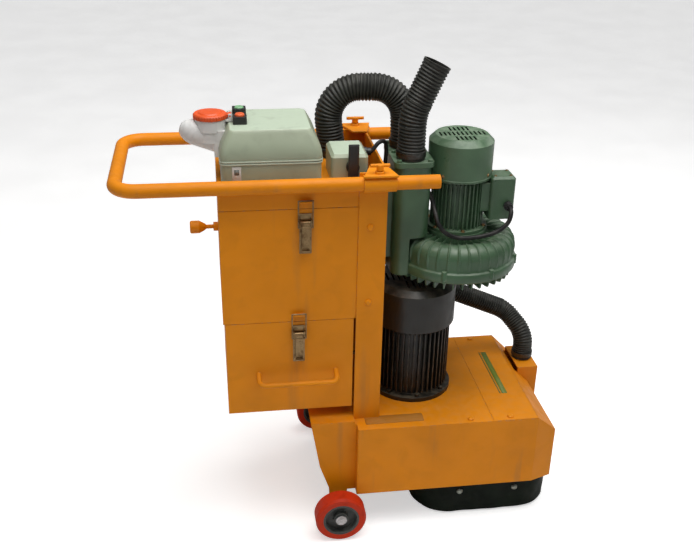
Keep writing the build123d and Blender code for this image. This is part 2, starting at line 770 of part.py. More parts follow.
def blower_casing():
    """Side-channel casing: ribbed ring channel above, cooling fins below."""
    x = BLOWER_X
    ring_r, ring_height = 116.0, 33.0
    rim = (BLOWER_BASE_Z, BLOWER_BASE_Z + 26)
    casing = rod_z(x, 0, rim, BLOWER_R)
    casing += tube_z(x, 0, (rim[1], 718), ring_r + ring_height, ring_r - ring_height)
    casing += Pos(x, 0, 718) * Torus(ring_r, ring_height)
    casing += rod_z(x, 0, (rim[1], BLOWER_SEAT_Z), 78)
    rib = block((76, 152), (-1.8, 1.8), (rim[1], 750))
    rib = chamfer(rib.edges().filter_by(Axis.Y).group_by(Axis.X)[-1].sort_by(Axis.Z)[-1], 20)
    fin = block((60, 149), (-1.8, 1.8), (BLOWER_BASE_Z - 20, BLOWER_BASE_Z))
    lug = rod_z(BLOWER_R - 4, 0, (rim[0] + 8, rim[1] + 6), 7) & rod_z(0, 0, rim, BLOWER_R)
    pieces = around_z(rib, x, 0, 36) + around_z(fin, x, 0, 40) + around_z(lug, x, 0, 8)
    casing = casing.fuse(*pieces)
    casing -= Pos(x, 0, 700) * Torus(ring_r - 2, 24)
    casing -= rod_z(x, 0, (680, 702), 140)
    return casing - rod_z(x, 0, (700, BLOWER_SEAT_Z), BLOWER_SHAFT_R + RUNNING_GAP)


def finned_body(x, outer, fin, base_z, top_z, count):
    """Motor body with cooling fins along its length."""
    body = rod_z(x, 0, (base_z, top_z), outer - fin)
    rib = block((outer - fin - 2, outer), (-1.6, 1.6), (base_z + 8, top_z - 8))
    return body.fuse(*around_z(rib, x, 0, count))


def grille_slots(x, z, reach):
    """Three rows of parallel slots that fill a round fan guard."""
    slots = []
    for row in (-1, 0, 1):
        for column in range(-5, 6):
            middle_x, middle_y = column * reach / 5.6, row * reach * 0.62
            length = reach * 0.5
            if middle_x**2 + (abs(middle_y) + length / 2) ** 2 < reach**2:
                slots.append(Pos(x + middle_x, middle_y, sum(z) / 2) * Box(5, length, z[1] - z[0]))
    return slots


def blower_motor_body():
    """Finned body, with its lower flange on the casing."""
    x, top = BLOWER_X, BLOWER_MOTOR_TOP_Z
    body = finned_body(x, BLOWER_MOTOR_R, 9, BLOWER_SEAT_Z, top, 36)
    body += rod_z(x, 0, (BLOWER_SEAT_Z, BLOWER_SEAT_Z + 8), 76)
    body -= rod_z(x, 0, (BLOWER_SEAT_Z + 10, top - 8), 47)
    return body - rod_z(x, 0, (BLOWER_SEAT_Z, top), BLOWER_SHAFT_R + RUNNING_GAP)


def fan_cowl(x, radius, base_z, top_z, seat_r):
    """Pressed cowl with a chamfered, slotted top."""
    profile = [
        (seat_r, base_z),
        (radius, base_z),
        (radius, top_z - 14),
        (radius - 14, top_z),
        (0, top_z),
        (0, top_z - 3),
        (radius - 15, top_z - 3),
        (radius - 3, top_z - 15),
        (radius - 3, base_z + 3),
        (seat_r, base_z + 3),
    ]
    cowl = turned_z(profile, x, 0)
    span = (top_z - 4, top_z)
    return cowl.cut(*grille_slots(x, span, radius * 0.76))


def blower_terminal_box():
    """Terminal box on the side of the blower's motor."""
    box = rounded_block((341, 403), (-60, 0), (793, 902), 8)
    box = chamfer(box.faces().sort_by(Axis.Z)[-1].edges(), 6)
    box += block((320, 342), (-50, -6), (812, 884))
    box -= rod_z(BLOWER_X, 0, (780, 920), BLOWER_MOTOR_R + 0.2)
    box -= rod_z(BLOWER_X, 0, (BLOWER_MOTOR_TOP_Z - 1, 920), BLOWER_COWL_R + 0.5)
    return box - rod_y(386, (-60, -56), 829, 5.2)


def blower_rotor():
    """Shaft with the impeller, rotor core and cooling fan fixed on it."""
    x = BLOWER_X
    rotor = rod_z(x, 0, (684, 945), BLOWER_SHAFT_R)
    rotor += rod_z(x, 0, (684, 699), 30) + rod_z(x, 0, (686, 692), 128)
    rotor += rod_z(x, 0, (790, 870), 44) + rod_z(x, 0, (905, 912), 40)
    vanes = around_z(block((96, 136), (-1, 1), (684, 700)), x, 0, 40)
    blades = around_z(block((20, 66), (-1.2, 1.2), (906, 934)), x, 0, 8)
    return rotor.fuse(*vanes, *blades)


# Grinding motor and belt drive


def main_motor_body():
    """Finned flange motor standing on the deck, with its terminal box on the left."""
    x, top = MOTOR_X, MOTOR_BODY_TOP_Z
    body = finned_body(x, MOTOR_R, 13, DECK_Z + 12, top, 44)
    body += rod_z(x, 0, (DECK_Z, DECK_Z + 12), 108)
    body += rounded_block((140, 216), (70, 148), (350, 440), 6)
    body -= rod_z(x, 0, (DECK_Z + 16, top - 10), 72)
    bolt = rod_z(98, 0, (DECK_Z + 12, DECK_Z + 20), 6)
    body = body.fuse(*around_z(bolt, x, 0, 8))
    body -= rod_x((136, 150), 122, 395, 5.2)
    return body - rod_z(x, 0, (DECK_Z, top), MOTOR_SHAFT_R + RUNNING_GAP)


def main_motor_rotor():
    """Motor shaft with its rotor core and cooling fan."""
    x = MOTOR_X
    rotor = rod_z(x, 0, (PULLEY_Z[0] - 3, 585), MOTOR_SHAFT_R)
    rotor += rod_z(x, 0, (345, 470), 66) + rod_z(x, 0, (528, 536), 50)
    blades = around_z(block((20, 88), (-1.5, 1.5), (530, 570)), x, 0, 8)
    return rotor.fuse(*blades)


def pulley(x, radius, bore):
    """Three-groove V-belt pulley."""
    low, high = PULLEY_Z
    profile = [(bore, low), (radius, low)]
    for groove in range(3):
        middle = low + 8 + groove * 12
        profile += [
            (radius, middle - 5),
            (radius - 9, middle - 3.4),
            (radius - 9, middle + 3.4),
            (radius, middle + 5),
        ]
    profile += [(radius, high), (bore, high)]
    return turned_z(profile, x, 0)


def drive_belts():
    """Three belts in the pulleys' grooves."""
    belts = []
    for groove in range(3):
        middle = PULLEY_Z[0] + 8 + groove * 12
        loops = []
        for set_in in (0.5, 8.5):
            circles = [
                Pos(MOTOR_X, 0) * Circle(MOTOR_PULLEY_R - set_in),
                Pos(SPINDLE_X, 0) * Circle(SPINDLE_PULLEY_R - set_in),
            ]
            loops.append(make_hull([edge for circle in circles for edge in circle.edges()]))
        band = extrude(Plane.XY.offset(middle - 3) * (loops[0] - loops[1]), amount=6)
        belts.append(band)
    return Compound(children=belts)


def spindle_shaft():
    """Spindle with the shoulder that carries the disc."""
    return rod_z(SPINDLE_X, 0, (DISC_Z[1], PULLEY_Z[1] + 4), SPINDLE_R)


def bearing_housing():
    """Flanged cartridge that holds the spindle's bearings."""
    x = SPINDLE_X
    housing = rod_z(x, 0, (66, 205), 42) + rod_z(x, 0, (HOUSING_BOTTOM_Z, 116), 78)
    bolts = around_z(rod_z(66, 0, (116, 122), 6.5), x, 0, 6)
    housing = housing.fuse(*bolts)
    return housing - rod_z(x, 0, (66, 205), SPINDLE_R + RUNNING_GAP)


def grinding_disc():
    """Steel disc and hub on the spindle's lower end."""
    x = SPINDLE_X
    disc = rod_z(x, 0, DISC_Z, DISC_R) + rod_z(x, 0, (DISC_Z[1], 56), 46)
    return disc - rod_z(x, 0, (DISC_Z[1], 56), SPINDLE_R)


def grinding_segments():
    """Diamond segments under the disc; they stand on the floor."""
    segment = block((118, 166), (-9, 9), (0, DISC_Z[0]))
    return Compound(children=around_z(segment, SPINDLE_X, 0, 12))


def skirt_form(inset, z):
    x = (SKIRT_X[0] + inset, SKIRT_X[1] - inset)
    half = SKIRT_HALF_WIDTH - inset
    return rounded_block(x, (-half, half), z, SKIRT_CORNER_R - inset)


def skirt_screw_holes(solid):
    for place in screw_places()[4:6] + screw_places()[10:12]:
        solid -= place * Pos(0, 0, -8) * Cylinder(4.2, 20)
    return solid


def grinding_cowl():
    """Pan under the housing that closes round the disc."""
    inset = SKIRT_WALL + 0.3
    cowl = skirt_form(inset, (48, HOUSING_BOTTOM_Z))
    cowl -= skirt_form(inset + PLATE, (48, HOUSING_BOTTOM_Z - PLATE - 2))
    cowl -= rod_z(SPINDLE_X, 0, (48, HOUSING_BOTTOM_Z), 43)
    return skirt_screw_holes(cowl)


def dust_skirt():
    """Rubber skirt wrapped round the cowl, just clear of the floor."""
    skirt = skirt_form(0, SKIRT_Z) - skirt_form(SKIRT_WALL, SKIRT_Z)
    return skirt_screw_holes(skirt)


# Wheels


def wheel_axle():
    """Fixed axle with spacer sleeves and end caps."""
    inner, outer = WHEEL_Y
    axle = rod_y(AXLE_X, (-outer + 2, outer - 2), AXLE_Z, AXLE_R)
    axle += both_sides(rod_y(AXLE_X, (-inner + 0.5, -190.5), AXLE_Z, 17))
    return axle + both_sides(rod_y(AXLE_X, (-outer, -outer + 4), AXLE_Z, 14))


def wheel_hub(side):
    """Cast hub with a web, a rim and the bored boss."""
    inner, outer = WHEEL_Y
    middle = (inner + outer) / 2

    def ring(low, high, radius, bore):
        span = sorted((side * low, side * high))
        return rod_y(AXLE_X, span, AXLE_Z, radius) - rod_y(AXLE_X, span, AXLE_Z, bore)

    bore = AXLE_R + RUNNING_GAP
    hub = ring(inner + 1, outer - 1, WHEEL_HUB_R, WHEEL_HUB_R - 6)
    hub += ring(middle - 6, middle + 6, WHEEL_HUB_R, bore)
    return hub + ring(inner + 0.5, outer - 4.5, 19, bore)


def wheel_tread(side):
    """Polyurethane tread moulded round the hub."""
    inner, outer = WHEEL_Y
    profile = [
        (WHEEL_HUB_R, -outer + 1),
        (WHEEL_R - 5, -outer),
        (WHEEL_R, -outer + 6),
        (WHEEL_R, -inner - 6),
        (WHEEL_R - 5, -inner),
        (WHEEL_HUB_R, -inner - 1),
    ]
    tread = Rot(90, 0, 0) * turned_z(profile, 0, 0)
    if side < 0:
        tread = mirror(tread, about=Plane.XZ)
    return Pos(AXLE_X, 0, AXLE_Z) * tread


def all_parts():
    lid, drawer = (LATCH_LID_X, LID_SEAM_Z), (LATCH_DRAWER_X, DRAWER_SEAM_Z)
    return {
        "head_housing": head_housing(),
        "belt_cover": belt_cover(),
        "rear_axle_frame": rear_axle_frame(),
        "button_head_screws": button_head_screws(),
        "upright_post": upright_post(),
        "handle_clamps": handle_clamps(),
        "handle_frame": handle_frame(),
        "clamp_screw_right": clamp_screw(-1),
        "clamp_screw_left": clamp_screw(1),
        "cabinet_body": cabinet_body(),
        "cabinet_lid": cabinet_lid(),
        "filter_element": filter_element(),
        "shaker_rod": shaker_rod(),
        "dust_drawer": dust_drawer(),
        "lid_latch_base": latch_base(*lid),
        "lid_latch_lever": latch_lever(*lid),
        "lid_latch_bail": latch_bail(*lid),
        "drawer_latch_base": latch_base(*drawer),
        "drawer_latch_lever": latch_lever(*drawer),
        "drawer_latch_bail": latch_bail(*drawer),
        "control_box_base": control_box_base(),
        "control_box_cover": control_box_cover(),
        "button_bezels": button_bezels(),
        "start_button": push_button(START_BUTTON, 20),
        "stop_button": push_button(STOP_BUTTON, 22),
        "power_inlet_body": power_inlet_body(),
        "inlet_socket": inlet_socket(),
        "inlet_lid": inlet_lid(),
        "reversing_switch_box": reversing_switch_box(),
        "reversing_lever": reversing_lever(),
        "filter_outlet_hose": filter_outlet_hose(),
        "exhaust_hose": exhaust_hose(),
        "suction_hose": suction_hose(),
        "hose_clamps": hose_clamps(),
        "cable_glands": cable_glands(),
        "power_cables": power_cables(),
        "blower_silencer": blower_silencer(),
        "blower_port_flange": blower_port_flange(),
        "blower_casing": blower_casing(),
        "blower_motor_body": blower_motor_body(),
        "blower_fan_cowl": fan_cowl(
            BLOWER_X, BLOWER_COWL_R, BLOWER_MOTOR_TOP_Z, BLOWER_COWL_TOP_Z, 52),
        "blower_terminal_box": blower_terminal_box(),
        "blower_rotor": blower_rotor(),
        "main_motor_body": main_motor_body(),
        "main_motor_cowl": fan_cowl(
            MOTOR_X, MOTOR_COWL_R, MOTOR_BODY_TOP_Z, MOTOR_COWL_TOP_Z, 80),
        "main_motor_rotor": main_motor_rotor(),
        "motor_pulley": pulley(MOTOR_X, MOTOR_PULLEY_R, MOTOR_SHAFT_R),
        "spindle_pulley": pulley(SPINDLE_X, SPINDLE_PULLEY_R, SPINDLE_R),
        "drive_belts": drive_belts(),
        "spindle_shaft": spindle_shaft(),
        "bearing_housing": bearing_housing(),
        "grinding_disc": grinding_disc(),
        "grinding_segments": grinding_segments(),
        "grinding_cowl": grinding_cowl(),
        "dust_skirt": dust_skirt(),
        "wheel_axle": wheel_axle(),
        "wheel_hub_right": wheel_hub(-1),
        "wheel_hub_left": wheel_hub(1),
        "wheel_tread_right": wheel_tread(-1),
        "wheel_tread_left": wheel_tread(1),
    }


os.makedirs("parts", exist_ok=True)
for node, shape in all_parts().items():
    export_step(shape, f"parts/{node}.step")
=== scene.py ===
import json
import math

import bmesh
import bpy
from mathutils import Matrix, Vector


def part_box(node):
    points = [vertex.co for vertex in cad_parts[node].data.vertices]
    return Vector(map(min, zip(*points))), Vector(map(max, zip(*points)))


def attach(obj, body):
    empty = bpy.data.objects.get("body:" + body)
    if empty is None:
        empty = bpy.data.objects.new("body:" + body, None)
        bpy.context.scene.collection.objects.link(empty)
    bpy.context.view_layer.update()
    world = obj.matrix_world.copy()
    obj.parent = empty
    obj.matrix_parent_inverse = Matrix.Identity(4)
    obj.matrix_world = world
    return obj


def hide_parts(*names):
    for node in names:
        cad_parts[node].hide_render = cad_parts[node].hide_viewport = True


# The look of a walk-behind concrete floor grinder: node materials on the CAD parts, ribbed
# hoses, a rubber skirt, hanging cables, a cast blower, moulded covers, blank labels and screws.
# Metres, +X forward, +Y the machine's left, +Z up. The machine's sizes and places are written in
# millimetres and turned into metres by MM. The stage and the lamps are in metres.

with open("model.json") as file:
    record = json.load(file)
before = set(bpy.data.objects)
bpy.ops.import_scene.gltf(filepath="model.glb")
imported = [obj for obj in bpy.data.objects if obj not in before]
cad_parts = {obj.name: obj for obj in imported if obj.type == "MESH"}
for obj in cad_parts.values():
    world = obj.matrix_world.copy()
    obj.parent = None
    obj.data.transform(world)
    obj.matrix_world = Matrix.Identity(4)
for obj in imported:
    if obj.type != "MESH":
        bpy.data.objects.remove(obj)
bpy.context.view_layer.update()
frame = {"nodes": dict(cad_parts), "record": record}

MM = 0.001

UP = Vector((0, 0, 1))

# Edges sharper than this many degrees stay crisp on CAD parts
CAD_SMOOTH_ANGLE = 32
HOLE_SIDES = 32

# Hoses as (outside radius, bore radius, pitch of the rib, depth of the rib)
WIDE_HOSE = (33.5, 29.9, 8.2, 3.0)
THIN_HOSE = (27.0, 23.4, 6.8, 2.6)
HOSE_SIDES = 56
ROWS_PER_RIB = 8
CUFF_RIBS = 2

# Bends of the three hoses
ARCH_Z = 1100
ARCH_BEND = 75
EXHAUST_BEND = 150
EXHAUST_LEAN = math.radians(24)
EXHAUST_BEND_Z = 1030
EXHAUST_STRAIGHT = 95
SUCTION_BEND = 70

# Where the hoses start and end
LID_PORT = (-36, 62)
LID_TOP_Z = 930
BLOWER_PORT_X = 141
BLOWER_PORT_Y = 45
PORT_FACE_Z = 953
CABINET_INLET = (128, 625)
PICK_UP = (527, 100)
PICK_UP_TOP_Z = 296

# Cables
BLOWER_CABLE_R = 5.5
MOTOR_CABLE_R = 5.0
CABLE_SIDES = 16

# Skirt
SKIRT_WALL = 6
SKIRT_CORNER = 100
SKIRT_BULGE = 1.6
SKIRT_INSET = 1.5
SKIRT_LIP = 1.2

# Blower's casing: rim, ring channel, narrow ribs, fins and lugs
BLOWER_X = 275
BLOWER_BASE_Z = 664
BLOWER_SEAT_Z = 760
RIM_R = 156
SEAT_R = 78
CHANNEL_R = 116
CHANNEL_Z = 718
CHANNEL_TUBE_R = 33
CASING_RIBS = 36
COLUMNS_PER_RIB = 14
RIB_FOOT_Z = 693
RIB_HEIGHT = 3.6
RIB_FLAT_DEG = 0.35
RIB_SLOPE_DEG = 1.1
CASING_FINS = 40
CASING_LUGS = 8
FLANGE_SCREW_R = 71

# Starter box
COVER_WALL = 3.2
COVER_TOP = 3.6
COVER_CORNER = 16
BUTTON_HOLE_R = 5.4
LABEL_Z = 966

# Handle clamps, the same on both sides
ARM_Y = 182
TUBE_Z = 943
TUBE_HOLE_R = 16.15
CLAMP_LENGTH = 75
CLAMP_PLATE_Z = 962
CLAMP_SCREW_X = 42
CLAMP_SCREW_HOLE_R = 5.3

# Top face of the post's foot, under its screws
FOOT_TOP_Z = 309

# Camera, in millimetres and degrees, and the surroundings' brightness
CAMERA_PLACE = (-329, -2124, 1676)
CAMERA_YAW_PITCH_ROLL = (8.843, 26.135, 1.226)
CAMERA_LENS = 48.8
WORLD_LIGHT = 0.27
WORLD_SEEN = 0.92


# Node materials


class Look:
    """One material and short calls for building its node tree."""

    def __init__(self, name, **settings):
        self.material = bpy.data.materials.new(name)
        self.material.use_nodes = True
        self.tree = self.material.node_tree
        self.shader = self.tree.nodes["Principled BSDF"]
        self.place = self.node("ShaderNodeTexCoord").outputs["Object"]
        for key, value in settings.items():
            self.set(key, value)

    def put(self, node, key, value):
        if isinstance(value, bpy.types.NodeSocket):
            self.tree.links.new(value, node.inputs[key])
        else:
            node.inputs[key].default_value = value

    def node(self, kind, inputs=None, **settings):
        made = self.tree.nodes.new(kind)
        for key, value in settings.items():
            setattr(made, key, value)
        for key, value in (inputs or {}).items():
            self.put(made, key, value)
        return made

    def set(self, key, value):
        self.put(self.shader, key.replace("_", " "), value)

    def noise(self, scale, detail=3.0, stretch=None, distortion=0.0):
        place = self.place
        if stretch:
            place = self.node("ShaderNodeMapping", {"Vector": place, "Scale": stretch}).outputs[0]
        made = self.node("ShaderNodeTexNoise", {
            "Vector": place, "Scale": scale, "Detail": detail, "Distortion": distortion})
        return made.outputs["Fac"]

    def math(self, operation, a, b=0.0):
        made = self.node("ShaderNodeMath", operation=operation)
        self.put(made, 0, a)
        self.put(made, 1, b)
        return made.outputs[0]

    def fade(self, value, low, high, to_low=0.0, to_high=1.0):
        made = self.node("ShaderNodeMapRange", {
            "Value": value, "From Min": low, "From Max": high,
            "To Min": to_low, "To Max": to_high}, interpolation_type="SMOOTHSTEP")
        return made.outputs[0]

    def mix(self, share, a, b):
        made = self.node("ShaderNodeMix", data_type="RGBA")
        self.put(made, 0, share)
        self.put(made, 6, solid(a))
        self.put(made, 7, solid(b))
        return made.outputs[2]

    def axis(self, index):
        parts = self.node("ShaderNodeSeparateXYZ", {"Vector": self.place})
        return parts.outputs[index]

    def facing(self, index):
        """The surface normal's X, Y or Z."""
        normal = self.node("ShaderNodeNewGeometry").outputs["Normal"]
        return self.node("ShaderNodeSeparateXYZ", {"Vector": normal}).outputs[index]

    def pointed(self, low=0.46, high=0.54):
        """0 in the hollows of the mesh, 1 on its ridges."""
        return self.fade(self.node("ShaderNodeNewGeometry").outputs["Pointiness"], low, high)

    def patchy(self, scale, low, high, detail=4):
        """A drift between two values."""
        return self.fade(self.noise(scale, detail), 0.2, 0.8, low, high)

    def rounded(self, radius):
        """The surface normal, rounded over near edges."""
        return self.node("ShaderNodeBevel", {"Radius": radius * MM}, samples=4).outputs[0]

    def edge(self, radius=2.5):
        """1 along sharp edges and 0 on flats, and the normal rounded over them."""
        soft = self.rounded(radius)
        hard = self.node("ShaderNodeNewGeometry").outputs["Normal"]
        along = self.node("ShaderNodeVectorMath", operation="DOT_PRODUCT")
        self.put(along, 0, soft)
        self.put(along, 1, hard)
        return self.fade(along.outputs["Value"], 0.985, 0.80), soft

    def bump(self, height, strength, distance, normal=None):
        made = self.node("ShaderNodeBump", {
            "Height": height, "Strength": strength, "Distance": distance * MM})
        if normal is not None:
            self.put(made, "Normal", normal)
        return made.outputs[0]


def solid(value):
    if isinstance(value, tuple) and len(value) == 3:
        return (*value, 1.0)
    return value


def tint(color, factor):
    return tuple(min(1.0, part * factor) for part in color)


ORANGE = (0.80, 0.262, 0.002)
BARE_UNDER_PAINT = (0.33, 0.30, 0.26)
RUN_DIRT = (0.16, 0.11, 0.07)
FLOOR_DUST = (0.50, 0.36, 0.20)
RUBBER_DUST = (0.17, 0.16, 0.14)
RUST = (0.14, 0.07, 0.03)
PAINTED_SCREW = (0.82, 0.27, 0.004)
WORN_SCREW = (0.42, 0.17, 0.03)
BARE_SCREW = (0.30, 0.32, 0.28)
DIRTY_SCREW = (0.14, 0.13, 0.10)


def painted(name, color, rough=0.44, dust=0.35, wear=0.5):
    """Paint on steel: cloudy tone, runs of dirt, dust on top, worn edges and orange peel."""
    look = Look(name, Coat_Weight=0.02, Coat_Roughness=0.3, Specular_IOR_Level=0.22)
    tone = look.mix(look.fade(look.noise(5, 5), 0.3, 0.7), tint(color, 0.90), tint(color, 1.05))
    blotch = look.fade(look.noise(17, 6, distortion=0.6), 0.50, 0.72)
    tone = look.mix(look.math("MULTIPLY", blotch, 0.22), tone, tint(color, 0.72))
    streaks = look.fade(look.noise(22, 4, stretch=(1.0, 1.0, 0.12)), 0.56, 0.74)
    upright = look.math("SUBTRACT", 1.0, look.math("ABSOLUTE", look.facing(2)))
    runs = look.math("MULTIPLY", streaks, upright)
    tone = look.mix(look.math("MULTIPLY", runs, 0.22), tone, RUN_DIRT)
    up = look.fade(look.facing(2), 0.55, 0.95)
    powder = look.math("MULTIPLY", look.fade(look.noise(60, 8), 0.35, 0.75), up)
    tone = look.mix(look.math("MULTIPLY", powder, dust * 0.30), tone, FLOOR_DUST)
    edge, soft = look.edge()
    chips = look.math("MULTIPLY", edge, look.fade(look.noise(90, 5), 0.52, 0.60))
    chips = look.math("MULTIPLY", chips, wear)
    look.set("Base_Color", look.mix(chips, tone, BARE_UNDER_PAINT))
    roughness = look.patchy(35, rough - 0.08, rough + 0.14, detail=5)
    look.set("Roughness", look.math("ADD", roughness, look.math("MULTIPLY", powder, 0.25)))
    look.set("Metallic", look.math("MULTIPLY", chips, 0.6))
    look.set("Normal", look.bump(look.noise(420, 2), 0.12, 0.6, soft))
    return look.material


def cast_painted(name, color, rough=0.45, light=(0.30, 0.36, 0.27), worn=0.55):
    """Paint over a sand-cast surface; rubbed edges take worn paint and a painted highlight in the pale
    light tone, and tops are paler towards the same tone, partly dust and partly painted top light.
    """
    look = Look(name, Coat_Weight=0.08, Coat_Roughness=0.3)
    tone = look.mix(look.fade(look.noise(9, 5), 0.3, 0.7), tint(color, 0.8), tint(color, 1.15))
    edge, soft = look.edge(2.0)
    # Worn edges and painted highlight: the edge mask mixes towards the pale light tone, by the worn
    # share.
    worn_edge_highlight = look.math("MULTIPLY", edge, look.fade(look.noise(50, 6), 0.42, 0.62))
    tone = look.mix(look.math("MULTIPLY", worn_edge_highlight, worn), tone, light)
    # Tops paler towards the light tone: dust and painted top light.
    up = look.fade(look.facing(2), 0.3, 0.95)
    dust = look.math("MULTIPLY", up, look.fade(look.noise(45, 8), 0.3, 0.7))
    look.set("Base_Color", look.mix(look.math("MULTIPLY", dust, 0.38), tone, light))
    look.set("Roughness", look.patchy(30, rough - 0.08, rough + 0.15))
    look.set("Normal", look.bump(look.noise(260, 5), 0.35, 0.7, soft))
    return look.material


def moulded(name, color, rough=0.42, dirt=0.25, lit_top_tone=None, **settings):
    """Moulded plastic: fine grain, slight tone drift, smears, a painted highlight along the edges, and
    a painted highlight on the top where a top tone is given.
    """
    look = Look(name, **settings)
    tone = look.mix(look.fade(look.noise(7, 4), 0.3, 0.7), tint(color, 0.92), tint(color, 1.05))
    if lit_top_tone:
        # Painted highlight: up-facing faces mix towards the given top tone.
        tone = look.mix(look.fade(look.facing(2), 0.75, 0.99), tone, lit_top_tone)
    smear = look.fade(look.noise(26, 7, distortion=0.8), 0.5, 0.75)
    tone = look.mix(look.math("MULTIPLY", smear, dirt), tone, tint(color, 0.55))
    edge, soft = look.edge(1.6)
    # Painted edge highlight: all edges mix towards a lighter tint.
    look.set("Base_Color", look.mix(look.math("MULTIPLY", edge, 0.18), tone, tint(color, 1.3)))
    look.set("Roughness", look.patchy(40, rough - 0.07, rough + 0.12))
    look.set("Normal", look.bump(look.noise(700, 3), 0.18, 0.35, soft))
    return look.material


def rubber(name, color, rough=0.6, dust=0.35, grain=0.35, ridge=None, shine=0.28):
    """Black rubber with cement dust caught on it; where a ridge tone is given, painted shade darkens
    the hollows and the ridges are paler.
    """
    look = Look(name, Specular_IOR_Level=shine)
    tone = look.mix(look.fade(look.noise(12, 5), 0.35, 0.7), tint(color, 0.7), tint(color, 1.4))
    if ridge:
        # Painted shade: the hollows between the ribs are darkened.
        tone = look.mix(look.pointed(), tint(color, 0.25), tone)
        tone = look.mix(look.math("MULTIPLY", look.pointed(0.53, 0.60), 0.5), tone, ridge)
    up = look.fade(look.facing(2), -0.1, 0.9)
    patches = look.fade(look.noise(38, 8), 0.42, 0.72)
    caught = look.math("MULTIPLY", patches, look.math("ADD", up, 0.25))
    look.set("Base_Color", look.mix(look.math("MULTIPLY", caught, dust), tone, RUBBER_DUST))
    look.set("Roughness", look.patchy(33, rough - 0.1, rough + 0.15))
    look.set("Normal", look.bump(look.noise(300, 4), grain, 0.4))
    return look.material


def bare_metal(name, color, rough=0.32, tarnish=0.4):
    """Bare or plated steel with fine scratches and patches of tarnish."""
    look = Look(name, Metallic=1.0)
    scratch = look.noise(240, 3)
    tone = look.mix(look.fade(scratch, 0.35, 0.65), tint(color, 0.82), tint(color, 1.1))
    patch = look.fade(look.noise(55, 7), 0.48, 0.68)
    look.set("Base_Color", look.mix(look.math("MULTIPLY", patch, tarnish), tone, RUST))
    look.set("Roughness", look.fade(patch, 0.0, 1.0, rough, rough + 0.28))
    look.set("Normal", look.bump(scratch, 0.12, 0.3, look.rounded(0.8)))
    return look.material


def screw_finish():
    """Screws painted over with the machine; the ones low on the skirt are bare and dirty."""
    look = Look("screw_finish", Specular_IOR_Level=0.2)
    high = look.fade(look.axis(2), 0.13, 0.15)
    worn = look.math("MULTIPLY", look.fade(look.noise(160, 4), 0.5, 0.6), 0.3)
    paint = look.mix(worn, PAINTED_SCREW, WORN_SCREW)
    bare = look.mix(look.fade(look.noise(120, 5), 0.4, 0.6), BARE_SCREW, DIRTY_SCREW)
    look.set("Base_Color", look.mix(high, bare, paint))
    look.set("Metallic", look.fade(look.axis(2), 0.13, 0.15, 0.7, 0.0))
    look.set("Roughness", look.patchy(90, 0.3, 0.5))
    look.set("Normal", look.bump(look.noise(300, 3), 0.15, 0.3, look.rounded(0.8)))
    return look.material


def pleated(name):
    """Fibrous filter paper."""
    look = Look(name, Roughness=0.9)
    drift = look.fade(look.noise(20, 5), 0.3, 0.7)
    look.set("Base_Color", look.mix(drift, (0.62, 0.59, 0.5), (0.8, 0.78, 0.7)))
    look.set("Normal", look.bump(look.noise(900, 4), 0.4, 0.3))
    return look.material


